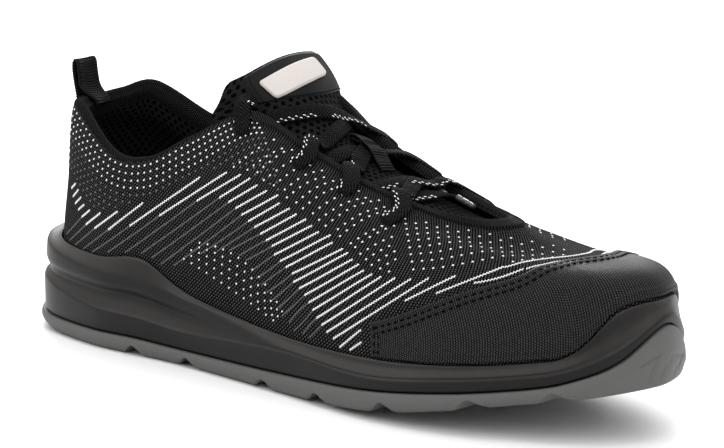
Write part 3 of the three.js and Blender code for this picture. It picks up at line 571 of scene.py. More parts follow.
def hole_cloth(name, dark, light, across, up, radius, depth, roughness=0.9):
    """Air mesh: staggered rows of round holes in a fine knit, with painted shade in the holes and the knit's hollows.
    """
    paint = Paint(name, light, roughness, 0.03)
    u, v = paint.cloth()
    row = paint.math("DIVIDE", v, up)
    shift = paint.math("MULTIPLY", paint.math("FLOOR", row), 0.5)
    du = paint.math("MULTIPLY", paint.math("SUBTRACT", paint.math("FRACT", paint.math(
        "ADD", paint.math("DIVIDE", u, across), shift)), 0.5), across)
    dv = paint.math("MULTIPLY", paint.math("SUBTRACT", paint.math("FRACT", row), 0.5), up)
    away = paint.math("SQRT", paint.math("ADD", paint.math("MULTIPLY", du, du), paint.math("MULTIPLY", dv, dv)))
    solid = paint.ramp(away, radius * 0.75, radius * 1.15)
    fine = paint.math("MULTIPLY", paint.wave(u, 0.0007), paint.wave(v, 0.0007))
    # Painted shade: the colour is darkest in the holes and in the fine knit's hollows.
    tone = paint.math("MULTIPLY", solid, paint.math("MULTIPLY_ADD", fine, 0.6, 0.5))
    paint.colour(tone, dark, light)
    paint.bump(paint.math("ADD", solid, paint.math("MULTIPLY", fine, 0.15)), depth)
    return paint.material


def plain(name, colour, roughness, grain, depth, specular=0.4, spread=0.15):
    """Moulded or smooth stuff with a faint grain."""
    paint = Paint(name, colour, roughness, specular)
    noise = paint.noise(grain, 4.0)
    paint.colour(noise, [c * (1 - spread) for c in colour], [c * (1 + spread) for c in colour])
    paint.bump(noise, depth)
    return paint.material


def foam():
    """Satin foam, paler where its surface faces up: a painted highlight on its up-facing faces, mottled by noise."""
    paint = Paint("sole_foam", (0.006, 0.0055, 0.0053), 0.4, 0.2)
    split = paint.tree.nodes.new("ShaderNodeSeparateXYZ")
    paint.tree.links.new(paint.tree.nodes.new("ShaderNodeNewGeometry").outputs["Normal"], split.inputs[0])
    # Painted highlight: the colour turns paler as the surface faces up, mottled by noise.
    up = paint.ramp(split.outputs[2], 0.05, 0.8)
    painted_light_and_mottle = paint.math("MULTIPLY", up, paint.math("MULTIPLY_ADD", paint.noise(0.004, 4.0), 0.6, 0.7))
    paint.colour(painted_light_and_mottle, (0.005, 0.0046, 0.0045), (0.042, 0.0385, 0.0365))
    paint.bump(paint.noise(0.0004, 4.0), 0.00002)
    return paint.material


def webbing_cloth(name, dark, light, rib, yarn, depth):
    """Woven tape: ribs across it, crossed by fine yarns, painted darker between them as shade."""
    paint = Paint(name, light, 0.75, 0.05)
    u, v = paint.cloth()
    yarns = paint.wave(u, yarn, paint.cell_turn(v, rib))
    relief = paint.math("MULTIPLY", paint.wave(v, rib), paint.math("MULTIPLY_ADD", yarns, 0.5, 0.5))
    # Painted shade: the colour is darkest in the hollows between ribs and yarns.
    paint.colour(relief, dark, light)
    paint.bump(relief, depth)
    return paint.material


def braid_cloth(name, dark, light):
    """Flat braid: strands that slope to the lace's middle from both sides, painted darker between them as shade."""
    paint = Paint(name, light, 0.8, 0.04)
    u, v = paint.cloth()
    fold = paint.math("ABSOLUTE", paint.math("SUBTRACT", u, LACE_WIDTH / 2 * MM))
    slope = paint.math("ADD", v, paint.math("MULTIPLY", fold, 1.2))
    strands = paint.wave(slope, 0.0016)
    cross = paint.wave(fold, 0.0016, paint.cell_turn(slope, 0.0016))
    relief = paint.math("MULTIPLY", strands, paint.math("MULTIPLY_ADD", cross, 0.5, 0.5))
    # Painted shade: the colour is darkest in the hollows between the strands.
    paint.colour(relief, dark, light)
    paint.bump(relief, 0.0005)
    return paint.material


PAINTS = {
    "rubber": plain("tread_rubber", (0.1, 0.0985, 0.0965), 0.55, 0.0006, 0.00004, 0.25),
    "foam": foam(),
    "knit": rib_cloth("knit_ribs", (0.0008, 0.0008, 0.0008), (0.07, 0.07, 0.072), math.radians(50), 0.00105, 0.0015,
                      0.0003),
    "lip": rib_cloth("collar_knit", (0.002, 0.002, 0.002), (0.026, 0.026, 0.027), math.radians(90), 0.0008, 0.001,
                     0.0002, 0.95),
    "lining": hole_cloth("air_mesh", (0.0003, 0.0003, 0.0003), (0.017, 0.0165, 0.0165), 0.0031, 0.0022, 0.0008,
                         0.0006),
    "patch": plain("tongue_patch", (0.0045, 0.0044, 0.0045), 0.5, 0.0008, 0.00005, 0.08),
    "guard": rib_cloth("guard_weave", (0.002, 0.002, 0.002), (0.05, 0.048, 0.047), math.radians(90), 0.001, 0.001,
                       0.0002, 0.5, 0.1),
    "webbing": webbing_cloth("webbing", (0.001, 0.001, 0.001), (0.032, 0.0315, 0.031), 0.0013, 0.0009, 0.0003),
    "lace": braid_cloth("lace_braid", (0.0005, 0.0005, 0.0005), (0.02, 0.0195, 0.019)),
    "white": plain("white_yarn", (0.86, 0.86, 0.87), 0.7, 0.0004, 0.00003),
    "grey": plain("grey_yarn", (0.16, 0.16, 0.165), 0.8, 0.0004, 0.00003, 0.1),
    "black": plain("black_thread", (0.0015, 0.0015, 0.0015), 0.8, 0.0004, 0.00003, 0.04),
    "film": plain("label_film", (0.53, 0.485, 0.455), 0.5, 0.0015, 0.00002, spread=0.03),
    "tip": plain("aglet", (0.045, 0.045, 0.047), 0.14, 0.0005, 0.00001),
    "foot": rib_cloth("insole_cloth", (0.004, 0.004, 0.004), (0.02, 0.02, 0.02), math.radians(45), 0.001, 0.0012,
                      0.0001, 0.9),
}

# The lace's free end, in mm from the plan's origin: its line as in the part's source, then on through its tip
LACE_END_LINE = np.array([
    (182.5, -16.6, 75.6), (184.4, -14.4, 76), (186, -11.8, 76.2), (187.3, -8.9, 76.2), (188.4, -5.9, 76.2),
    (189.5, -2.9, 76.3), (190.6, 0.1, 76.4), (191.9, 3, 76.5), (193.6, 5.8, 76.5), (195.8, 8.2, 76.2),
    (198.2, 9.7, 75.8)])
LACE_END_FACING = np.array([(0.35, -0.33, 0.88), (0.35, -0.1, 0.93), (0.3, -0.2, 0.93)])
AGLETS = {"aglet_outer": ((199.5, 9.8, 75.6), (209.6, 7, 73.7)), "aglet_inner": ((183.2, 13.4, 78.4), (193.6, 10.6, 75.9))}


def aglet(name):
    start, end = (np.array(place) for place in AGLETS[name])
    share = np.array([0, 0, 0.03, 0.06, 0.3, 0.33, 0.36, 0.7, 0.73, 0.76, 0.97, 1, 1])
    radius = np.array([0.05, 0.75, 0.8, 0.8, 0.78, 0.7, 0.78, 0.75, 0.68, 0.75, 0.66, 0.55, 0.05]) * AGLET_DIAMETER / 2
    way = unit(end - start)
    side = unit(np.cross(way, (0, 0, 1)))
    up = np.cross(side, way)
    angle = np.arange(24) * 2 * np.pi / 24
    ring = side * np.cos(angle)[:, None] + up * np.sin(angle)[:, None]
    points = start + (end - start) * share[:, None, None] + ring[None] * radius[:, None, None]
    return piece(name + "_tip", points, grid_faces(len(share), 24, True), PAINTS["tip"], "aglet", replaced=(name,))


def lace_end():
    """The free end of the lace: a cord from under the throat's edge to its tip."""
    tips = [aglet(name) for name in AGLETS]
    start, end = (np.array(place) for place in AGLETS["aglet_outer"])
    way = np.concatenate([LACE_END_LINE, [start, (start + end) / 2, end - (end - start) * 0.02]])
    line, facing = spline(way, LACE_END_FACING, 0.4)
    lengths = run_lengths(line)
    taper = blend(lengths, 19, 31)
    width = LACE_WIDTH + (0.7 * AGLET_DIAMETER - LACE_WIDTH) * taper
    points, faces, uv = tube(line, facing, width, LACE_THICKNESS)
    made = piece("lace_end_braid", points, faces, PAINTS["lace"], "lace_braid", uv, replaced=("lace_end",))
    return line, facing


def floor():
    mesh = bpy.data.meshes.new("floor")
    mesh.from_pydata([(-4, -4, 0), (4, -4, 0), (4, 4, 0), (-4, 4, 0)], [], [(0, 1, 2, 3)])
    made = bpy.data.objects.new("floor", mesh)
    bpy.context.scene.collection.objects.link(made)
    mesh.materials.append(plain("pale_floor", (0.9, 0.9, 0.9), 0.6, 0.01, 0.0, spread=0.0))


def light(name, place, size, power):
    data = bpy.data.lights.new(name, "AREA")
    data.size = size
    data.energy = power
    made = bpy.data.objects.new(name, data)
    place = Vector(place)
    made.matrix_world = Matrix.Translation(place) @ (place - TARGET).to_track_quat("Z", "Y").to_matrix().to_4x4()
    bpy.context.scene.collection.objects.link(made)


WORLD_LOW = 0.4  # strength at the horizon, then overhead
WORLD_HIGH = 1.5


def studio():
    world = bpy.data.worlds.new("studio")
    world.use_nodes = True
    world.node_tree.nodes["Background"].inputs["Color"].default_value = (1, 1, 1, 1)
    tree = world.node_tree
    split = tree.nodes.new("ShaderNodeSeparateXYZ")
    tree.links.new(tree.nodes.new("ShaderNodeTexCoord").outputs["Generated"], split.inputs[0])
    rise = tree.nodes.new("ShaderNodeMapRange")
    rise.inputs["To Min"].default_value = WORLD_LOW
    rise.inputs["To Max"].default_value = WORLD_HIGH
    tree.links.new(split.outputs[2], rise.inputs["Value"])
    tree.links.new(rise.outputs["Result"], tree.nodes["Background"].inputs["Strength"])
    bpy.context.scene.world = world
    bpy.context.scene.view_settings.view_transform = "Standard"
    light("top", (0.0, 0.1, 1.6), 1.0, 9)
    light("front_left", (-0.9, -1.2, 0.9), 0.8, 5)
    light("toe", (1.3, -0.5, 0.7), 0.7, 2)
    light("back", (-0.9, 1.25, 0.8), 1.0, 24)


# Cross notches of the tread: shares of LENGTH, and their size in mm
GROOVE_PLACES = (0.243, 0.337, 0.482, 0.583, 0.697, 0.813, 0.903)
NOTCH_WIDTH = 10.0
NOTCH_DEPTH = 4.2
GROOVE_SWEEP = 9
SIDE_STATIONS = 720
SOLE_COLUMNS = np.arange(SIDE_STATIONS) * LOOP_SECTIONS / SIDE_STATIONS


def notch(x, y):
    """How high the tread's notches reach at a place."""
    height = np.zeros_like(x)
    for share in GROOVE_PLACES:
        away = np.abs(x - share * LENGTH - GROOVE_SWEEP * (1 - np.abs(y) / BALL_WIDTH))
        height = np.maximum(height, NOTCH_DEPTH * np.clip(1.15 - away / (NOTCH_WIDTH / 2), 0, 1))
    return height


def rounded(profile, radius, t):
    """A profile of ways and heights with its corners rounded, one column for each station."""
    corners = np.stack([np.stack(np.broadcast_arrays(way, height, t)[:2], -1) for way, height in profile])
    out = [corners[:1]]
    for k in range(1, len(corners) - 1):
        before, here, after = corners[k - 1:k + 2]
        to_before, to_after = before - here, after - here
        first, second = (np.linalg.norm(v, axis=-1, keepdims=True) for v in (to_before, to_after))
        a = here + to_before * np.minimum(radius / np.maximum(first, 1e-6), 0.45)
        b = here + to_after * np.minimum(radius / np.maximum(second, 1e-6), 0.45)
        out.append(np.stack([a, (a + b + 2 * here) / 4, b]))
    out.append(corners[-1:])
    return np.concatenate(out)


def close_rows(profile, count):
    """The profile with evenly spread rows between its own, without its last row."""
    return np.concatenate([profile[:-1, None] + (profile[1:] - profile[:-1])[:, None]
                           * (np.arange(count) / count)[None, :, None, None]]).reshape(
        -1, *profile.shape[1:])


def outsole():
    t = SOLE_COLUMNS
    tread, top = tread_height(t), sole_height("rubber", t)
    floor_height = np.minimum(tread + OUTSOLE_THICKNESS, top - EDGE_ROUND)
    profile = rounded([
        (TREAD_CHAMFER, tread), (TREAD_CHAMFER * 0.35, tread + TREAD_CHAMFER * 0.45),
        (-RUBBER_BULGE, tread + (top - tread) * 0.55), (0, top - EDGE_ROUND), (EDGE_ROUND, top),
        (OUTSOLE_RIM, top), (OUTSOLE_RIM + GAP, floor_height)], 0.9, t)
    profile = close_rows(profile, 4)
    grid = ring_point(t, profile[..., 0], profile[..., 1])
    raised = np.maximum(grid[..., 2], tread + notch(grid[..., 0], grid[..., 1]))
    side_rows = len(grid) * 2 // 3
    grid[:side_rows, :, 2] = raised[:side_rows]
    grid = grid + np.concatenate([inward(t), np.zeros((len(t), 1))], 1) * toe_cuts(grid)[..., None]
    sheet_piece("outsole_side", grid, surface_uv(grid, True), PAINTS["rubber"], "tread_rubber", True, ("outsole",))
    half = np.linspace(0, SECTIONS, 481)
    outer = ring_point(half, TREAD_CHAMFER, tread_height(half))
    inner = ring_point(LOOP_SECTIONS - half, TREAD_CHAMFER, tread_height(half))
    under = outer + (inner - outer) * np.linspace(0, 1, 61)[:, None, None]
    under[..., 2] += notch(under[..., 0], under[..., 1])
    sheet_piece("tread_face", under[::-1], surface_uv(under), PAINTS["rubber"], "tread_rubber")


# Shallow arcs moulded in the toe's rubber: places in mm from the plan's origin
TOE_ARCS = (
    ((300.3, -10.5, 29.8), (301.8, -7.3, 31.4), (303.1, -3.3, 32.6)),
    ((302.8, -4.1, 30.6), (301.9, -5.7, 27.3), (301.2, -6.4, 24.2)),
    ((303.8, 5.2, 32.1), (302.6, 11.4, 30.9), (299.8, 19.6, 28.6)),
    ((303.6, 6.4, 31.2), (303.4, 2, 28.6), (302.6, -1.1, 24.7)),
    ((300.5, 17.8, 28.7), (301, 14.4, 25.5), (302.4, 7.5, 23.5)))


def toe_cuts(grid):
    depth = np.zeros(grid.shape[:2])
    for arc in TOE_ARCS:
        line = evenly(np.array(arc, float), 0.6)
        near = np.linalg.norm(grid - line.mean(0), axis=-1) < 16
        away = np.linalg.norm(grid[near][:, None] - line[None], axis=-1).min(1)
        depth[near] = np.maximum(depth[near], 0.7 * np.exp(-(away / 0.75) ** 2))
    return depth


def midsole():
    t = SOLE_COLUMNS
    height = {name: sole_height(name, t) for name in ("rubber", "ledge", "band", "rim", "lip", "bed")}
    tread = tread_height(t)
    floor_height = np.minimum(tread + OUTSOLE_THICKNESS, height["rubber"] - EDGE_ROUND) + GAP
    seat = height["rubber"] + GAP
    lip_way = upper_way(t, height["lip"]) - LIP_CLEARANCE
    middle = (height["bed"] + height["lip"]) / 2
    profile = rounded([
        (OUTSOLE_RIM + 2 * GAP, floor_height), (OUTSOLE_RIM + GAP, seat), (2 * EDGE_ROUND, seat),
        (EDGE_ROUND, height["ledge"] - 2 * EDGE_ROUND), (2 * EDGE_ROUND, height["ledge"]),
        (inset("grooveIn", t), height["band"]),
        (inset("bandIn", t), height["band"] * 0.55 + height["rim"] * 0.45),
        (inset("rimIn", t), height["rim"]), (lip_way - EDGE_ROUND, height["lip"] - EDGE_ROUND),
        (lip_way, height["lip"]), (upper_way(t, middle) - LIP_CLEARANCE, middle),
        (inset("foot", t) - GAP, height["bed"])], 1.1, t)
    profile = close_rows(profile, 2)
    grid = ring_point(t, profile[..., 0], profile[..., 1])
    sheet_piece("midsole_foam", grid, surface_uv(grid, True), PAINTS["foam"], "sole_foam", True, ("midsole",))


def insole():
    t = np.arange(480) * LOOP_SECTIONS / 480
    way = inset("foot", t) + UPPER_WALL + 2 * GAP
    bed = sole_height("bed", t) + GAP
    top = bed + INSOLE_THICKNESS + INSOLE_RISE * (1 - blend(np.minimum(t, LOOP_SECTIONS - t), 3, 6))
    profile = close_rows(rounded([
        (way + EDGE_ROUND, bed), (way, bed + EDGE_ROUND), (way + EDGE_ROUND, top), (way + INSOLE_DISH / 4, top),
        (way + INSOLE_DISH, bed + INSOLE_THICKNESS)], 1.0, t), 3)
    grid = ring_point(t, profile[..., 0], profile[..., 1])
    sheet_piece("insole_edge", grid, surface_uv(grid, True), PAINTS["foot"], "insole_cloth", True, ("insole",))
    half = np.arange(0, 241)
    rim = grid[-1]
    flat = rim[half] + (rim[-half] - rim[half]) * np.linspace(0, 1, 41)[:, None, None]
    sheet_piece("insole_face", flat, surface_uv(flat), PAINTS["foot"], "insole_cloth")


UPPER_COLUMNS = np.arange(640) * LOOP_SECTIONS / 640
LIP_INSIDE = 6  # mm that the soft knitted lip reaches down inside


def collar_run(t):
    """Length in mm of the upper's face for each unit of level near its edge."""
    return np.linalg.norm(upper_point(t, 1.0) - upper_point(t, 0.95), axis=-1) / 0.05


def upper():
    """Knit outside, a soft lip round the edge, and the air mesh inside."""
    t = UPPER_COLUMNS
    wall = upper_wall(t, 1.0)
    top = 1 - wall / 2 / collar_run(t)
    knit = upper_point(t, np.linspace(0, 1, 90)[:, None] * top)
    sheet_piece("upper_knit", knit, surface_uv(knit, True), PAINTS["knit"], "knit", True, ("upper",))
    facing = upper_normal(t, 1.0)
    rise = unit(upper_point(t, 1.0) - upper_point(t, 0.95))
    centre = upper_point(t, top) - facing * (wall / 2)[:, None]
    angle = np.linspace(0, np.pi, 15)[:, None, None]
    turn = centre + (facing * np.cos(angle) + rise * np.sin(angle)) * (wall / 2)[:, None]
    run = collar_run(t)
    soft = top - np.linspace(0, LIP_INSIDE, 12)[:, None] / run
    lip = np.concatenate([turn[:-1], off_upper(t, soft, -upper_wall(t, soft))])
    sheet_piece("upper_lip", lip, surface_uv(lip, True), PAINTS["lip"], "knit", True)
    levels = np.linspace(1, 0, 60)[:, None] * (top - (LIP_INSIDE - 1) / run)
    inside = off_upper(t, levels, -upper_wall(t, levels) - 0.15)
    sheet_piece("upper_lining", inside, surface_uv(inside, True), PAINTS["lining"], "air_mesh", True)


# Bright lines of the knit on the outer side, three places on each from its lower end: station and level
BRIGHT_ROWS = np.array([
    (2.121, 0.378, 2.211, 0.404, 2.287, 0.43), (2.208, 0.343, 2.298, 0.375, 2.378, 0.41),
    (2.299, 0.315, 2.386, 0.346, 2.466, 0.38), (2.406, 0.292, 2.489, 0.321, 2.568, 0.353),
    (2.512, 0.263, 2.62, 0.3, 2.725, 0.344), (2.624, 0.231, 2.803, 0.289, 2.984, 0.366),
    (2.837, 0.228, 3.14, 0.324, 3.423, 0.424), (3.194, 0.246, 3.607, 0.393, 3.974, 0.521),
    (3.692, 0.306, 4.491, 0.539, 5.137, 0.683), (4.359, 0.436, 5.025, 0.588, 5.483, 0.689),
    (5.069, 0.548, 5.361, 0.615, 5.636, 0.67), (5.357, 0.566, 5.551, 0.611, 5.751, 0.654),
    (5.456, 0.546, 5.629, 0.585, 5.812, 0.623), (5.528, 0.522, 5.717, 0.563, 5.925, 0.605),
    (5.589, 0.498, 5.806, 0.544, 6.059, 0.595), (5.653, 0.476, 5.846, 0.52, 6.07, 0.567),
    (5.713, 0.457, 5.931, 0.504, 6.19, 0.557), (5.771, 0.436, 5.998, 0.486, 6.269, 0.543),
    (5.827, 0.416, 6.086, 0.472, 6.399, 0.538), (5.885, 0.399, 6.15, 0.456, 6.469, 0.522),
    (5.903, 0.368, 6.195, 0.433, 6.549, 0.507), (5.965, 0.35, 6.303, 0.425, 6.724, 0.513),
    (6.026, 0.333, 6.343, 0.405, 6.729, 0.485), (6.094, 0.316, 6.44, 0.389, 6.859, 0.471),
    (6.101, 0.286, 6.465, 0.369, 6.909, 0.458), (6.162, 0.269, 6.522, 0.351, 6.956, 0.436),
    (6.22, 0.251, 6.583, 0.335, 7.017, 0.419), (6.26, 0.228, 6.63, 0.317, 7.072, 0.4),
    (6.3, 0.205, 6.699, 0.303, 7.178, 0.392), (6.341, 0.18, 6.768, 0.289, 7.288, 0.386),
    (6.396, 0.16, 6.883, 0.282, 7.482, 0.389), (6.453, 0.139, 7.012, 0.276, 7.703, 0.392),
    (6.529, 0.122, 7.166, 0.273, 7.965, 0.405), (7.503, 0.306, 7.903, 0.359, 8.332, 0.424),
    (7.96, 0.341, 8.498, 0.41, 9.189, 0.514), (8.523, 0.396, 9.05, 0.45, 9.6, 0.509),
    (6.607, 0.097, 6.735, 0.143, 6.872, 0.186),
    (6.727, 0.097, 6.797, 0.118, 6.868, 0.138)])
# Two long lines that run beside the toe guard's edge and over the tip: level over the edge and first station
TIP_LINES = ((0.07, 9.17), (0.022, 9.6))
# Lower end and middle of the dim lines that go on down from them, from the fifth bright line
DIM_ROWS = np.array([
    (1.997, 0.149, 2.29, 0.198), (2.16, 0.131, 2.404, 0.174), (2.335, 0.12, 2.586, 0.166),
    (2.554, 0.116, 2.852, 0.171), (2.773, 0.116, 3.216, 0.185), (3.179, 0.134, 3.748, 0.236),
    (3.589, 0.146, 4.366, 0.343), (3.935, 0.157, 4.776, 0.385), (4.189, 0.155, 4.944, 0.373),
    (4.41, 0.143, 5.06, 0.348), (4.692, 0.157, 5.181, 0.34), (5.12, 0.265, 5.4, 0.39),
    (5.3, 0.305, 5.5, 0.39), (5.43, 0.33, 5.6, 0.39), (5.53, 0.32, 5.68, 0.375), (5.6, 0.31, 5.75, 0.36),
    (5.65, 0.27, 5.78, 0.325), (5.7, 0.25, 5.83, 0.3), (5.75, 0.23, 5.88, 0.285), (5.8, 0.21, 5.95, 0.265),
    (5.85, 0.185, 5.98, 0.24), (5.9, 0.16, 6.03, 0.215), (5.95, 0.14, 6.08, 0.195),
    (6.03, 0.125, 6.12, 0.175), (6.08, 0.1, 6.2, 0.155), (6.18, 0.1, 6.25, 0.14), (6.25, 0.095, 6.33, 0.13)])
FIRST_DIM = 4
# Upper ends of the rows of dots that go on up from them, from the tenth bright line
DOT_ENDS = np.array([
    (6.358, 0.88), (6.416, 0.843), (6.668, 0.884), (6.739, 0.851), (6.957, 0.862), (7.181, 0.872),
    (7.112, 0.826), (7.595, 0.895), (7.671, 0.88), (7.846, 0.876), (7.866, 0.841), (8.272, 0.888),
    (8.181, 0.834), (8.412, 0.851), (8.159, 0.738), (8.19, 0.728), (7.922, 0.631), (7.758, 0.567),
    (7.789, 0.541), (7.714, 0.495), (7.514, 0.428)])
FIRST_DOTS = 9
# Columns of dots on the vamp, from the throat down, and rows of dots over the arch, from the heel forwards
VAMP_COLUMNS = np.array([
    (8.426, 0.796, 8.141, 0.668, 7.967, 0.571, 7.843, 0.486, 7.765, 0.417),
    (8.907, 0.834, 8.525, 0.697, 8.316, 0.594, 8.173, 0.51, 8.072, 0.44),
    (9.548, 0.881, 8.956, 0.734, 8.645, 0.615, 8.489, 0.534, 8.376, 0.464),
    (10.181, 0.906, 9.722, 0.809, 9.021, 0.642, 8.813, 0.559, 8.678, 0.491),
    (10.712, 0.905, 10.384, 0.841, 9.821, 0.723, 9.231, 0.591, 9.022, 0.522),
    (11.196, 0.888, 10.943, 0.843, 10.594, 0.779, 9.966, 0.649, 9.569, 0.564),
    (11.573, 0.857, 11.375, 0.825, 11.154, 0.784, 10.78, 0.718, 10.295, 0.622),
    (11.959, 0.815, 11.735, 0.792, 11.538, 0.765, 11.327, 0.729, 11.079, 0.682),
    (12.396, 0.753, 12.124, 0.745, 11.903, 0.73, 11.737, 0.713, 11.593, 0.693)])
ARCH_ROWS = np.array([
    (5.101, 0.321, 5.355, 0.327, 5.609, 0.295, 5.813, 0.228, 5.983, 0.141),
    (4.874, 0.202, 5.197, 0.184, 5.451, 0.159, 5.676, 0.132, 5.886, 0.108)])
BAND_TOP = BRIGHT_ROWS[np.argsort(BRIGHT_ROWS[:, 4])][:, 4:]


def nearest(goal, t, v):
    """Stations and levels of the upper's points nearest to the given ones, from a first guess."""
    for _ in range(6):
        high = np.minimum(v + 0.005, 1)
        along = (upper_point(t + 0.005, v) - upper_point(t - 0.005, v)) / 0.01
        up = (upper_point(t, high) - upper_point(t, high - 0.01)) / 0.01
        miss = goal - upper_point(t, v)
        aa, au, uu = ((one * other).sum(-1) for one, other in ((along, along), (along, up), (up, up)))
        ma, mu = (miss * along).sum(-1), (miss * up).sum(-1)
        t = t + (uu * ma - au * mu) / (aa * uu - au * au)
        v = np.clip(v + (aa * mu - au * ma) / (aa * uu - au * au), 0, 1)
    return t, v


def on_face(places, pitch, side):
    """Points and normals of the upper at an even pitch along an even curve near places on it."""
    t, v = np.asarray(places).reshape(-1, 2).T
    t = t if side > 0 else LOOP_SECTIONS - t
    knots = upper_point(t, v)
    given = run_lengths(knots)
    share = np.linspace(0, given[-1], 80)
    curve = np.stack([np.polyval(np.polyfit(given, column, min(2, len(t) - 1)), share) for column in knots.T], -1)
    t, v = nearest(curve, np.interp(share, given, t), np.interp(share, given, v))
    lengths = run_lengths(upper_point(t, v))
    wanted = np.arange(0, lengths[-1], pitch)
    t, v = np.interp(wanted, lengths, t), np.interp(wanted, lengths, v)
    return upper_point(t, v), upper_normal(t, v)


def zigzag(points, normals, reach, width, height):
    across = unit(np.cross(normals, np.gradient(points, axis=0)))
    tooth = np.where(np.arange(len(points)) % 2, reach, -reach)[:, None]
    return thread(points + across * tooth, normals, width, height)


def tip_line(rise, start):
    """One long line from side to side beside the toe guard's edge."""
    t = np.linspace(start, LOOP_SECTIONS - start, 900)
    lengths = run_lengths(upper_point(t, guard_high(t) + rise))
    t = np.interp(np.arange(0, lengths[-1], 0.62), lengths, t)
    v = guard_high(t) + rise
    return zigzag(upper_point(t, v), upper_normal(t, v), 0.26, 0.46, 0.28)


def knit_lines():
    bright, dim, dots, faint = [tip_line(*line) for line in TIP_LINES], [], [], []
    for side in (1, -1):
        for row in BRIGHT_ROWS:
            points, normals = on_face(row, 0.62, side)
            if len(points) > 2:
                bright.append(zigzag(points, normals, 0.28, 0.56, 0.3))
        for row, end in zip(BRIGHT_ROWS[FIRST_DIM:], DIM_ROWS):
            points, normals = on_face([*end, *row[:2]], 0.62, side)
            if len(points) > 2:
                dim.append(zigzag(points, normals, 0.24, 0.36, 0.16))
        for row, end in zip(BRIGHT_ROWS[FIRST_DOTS:], DOT_ENDS):
            points, normals = on_face([*row[4:], *end], 3.4, side)
            dots.append((points[1:], normals[1:]))
        for k in range(16 if side > 0 else 9):
            points, normals = on_face(smooth_open(VAMP_COLUMNS, np.array(k / 2)), 1.75 + 0.11 * k, side)
            dots.append((points[k % 2::2], normals[k % 2::2]))
        for k in range(5):
            points, normals = on_face(ARCH_ROWS[0] + (ARCH_ROWS[1] - ARCH_ROWS[0]) * k / 4, 2.2, side)
            dots.append((points[k % 2::2], normals[k % 2::2]))
        near, far = collar_dots(side)
        dots.append(near)
        faint.append(far)
    piece("knit_bright_lines", *joined(bright), PAINTS["white"], "knit")
    piece("knit_dim_lines", *joined(dim), PAINTS["grey"], "knit")
    for name, places, paint in (("knit_dots", dots, "white"), ("knit_faint_dots", faint, "grey")):
        centres, normals = (np.concatenate(column) for column in zip(*places))
        shape = beads(centres, normals, np.broadcast_to((0.6, 0, 0.8), centres.shape), 1.0, 0.72, 0.28)
        piece(name, *shape, PAINTS[paint], "knit")


DOT_EDGE = 3.9  # mm from the collar's edge to the first row
DOT_ROWS = 2.9
DOT_COLUMNS = 3.3
BRIGHT_DEPTH = 13  # mm from the edge down to where the dots turn faint


def collar_dots(side):
    """Rows of dots parallel to the collar's edge, down to the bright band: the near ones and the faint ones."""
    t = np.linspace(0.35, 6.15, 340)
    v = np.linspace(1, 0, 201)
    turned = t if side > 0 else LOOP_SECTIONS - t
    grid = upper_point(turned, v[:, None])
    down = np.concatenate([np.zeros((1, len(t))), np.linalg.norm(np.diff(grid, axis=0), axis=2).cumsum(0)])
    along = run_lengths(grid[60])
    near, far = [], []
    for at in np.interp(np.arange(0, along[-1], DOT_COLUMNS), along, t):
        depth = np.array([np.interp(at, t, row) for row in down])
        stop = np.interp(at, BAND_TOP[:, 0], BAND_TOP[:, 1], left=0.42) + 0.03
        depths = np.arange(DOT_EDGE, depth[-1], DOT_ROWS)
        for level, under in zip(np.interp(depths, depth, v), depths):
            if level > stop:
                (near if under < BRIGHT_DEPTH else far).append((at, level))
    return [face_places(np.array(places), side) for places in (near, far)]


def face_places(places, side):
    t = places[:, 0] if side > 0 else LOOP_SECTIONS - places[:, 0]
    return upper_point(t, places[:, 1]), upper_normal(t, places[:, 1])


GUARD_EDGE = np.array([0.63, 0.61, 0.52, 0.42, 0.32, 0.22])  # level of the guard's edge at each station from the tip
GUARD_REACH = 5
GUARD_OFF = 2 * GAP


def guard_high(t):
    return smooth_open(GUARD_EDGE, np.abs(t - SECTIONS))


def guard_low(t):
    return level_at(t, sole_height("lip", t) + 2 * GAP)


def toe_guard():
    t = np.linspace(SECTIONS - GUARD_REACH, SECTIONS + GUARD_REACH, 560)
    low, high = guard_low(t), guard_high(t)
    rise = np.linspace(0, 1, 56)[:, None]
    level = low + (high - low) * rise
    span = run_lengths(upper_point(t, (low + high) / 2))
    height = np.linalg.norm(upper_point(t, high) - upper_point(t, low), axis=-1)
    from_rim = np.minimum(np.minimum(span, span[-1] - span)[None], np.minimum(rise, 1 - rise) * height)
    round_off = np.sqrt(1 - (1 - np.clip(from_rim / 1.0, 0, 1)) ** 2)
    welt = 0.45 * np.exp(-((from_rim - 3.6) / 0.7) ** 2) + 0.3 * np.exp(-((from_rim - 1.2) / 0.6) ** 2)
    off = -0.3 + (GUARD_OFF + GUARD_THICKNESS + 0.3) * round_off + welt
    grid = off_upper(t, level, off)
    sheet_piece("toe_guard_cloth", grid, surface_uv(grid), PAINTS["guard"], "guard_cloth", replaced=("toe_guard",))
    rows = []
    surface = GUARD_OFF + GUARD_THICKNESS
    for inside in (2.6, 4.7):
        fine = np.linspace(SECTIONS - GUARD_REACH + 0.05, SECTIONS + GUARD_REACH - 0.05, 600)
        drop = inside / np.linalg.norm(upper_point(fine, guard_high(fine)) - upper_point(fine, guard_low(fine)), axis=-1)
        v = guard_high(fine) - drop * (guard_high(fine) - guard_low(fine))
        rows.append(stitch_row(off_upper(fine, v, surface), upper_normal(fine, v), 3.0, 0.72, 1.0, 0.5))
    for end in (SECTIONS - GUARD_REACH, SECTIONS + GUARD_REACH):
        for inside in (0.055, 0.105):
            at = np.full(60, end + (inside if end < SECTIONS else -inside))
            v = guard_low(at) + (guard_high(at) - guard_low(at)) * np.linspace(0.06, 0.86, 60)
            rows.append(stitch_row(off_upper(at, v, surface), upper_normal(at, v), 3.0, 0.72, 1.0, 0.5))
    piece("toe_guard_stitches", *joined(rows), PAINTS["black"], "guard_cloth")


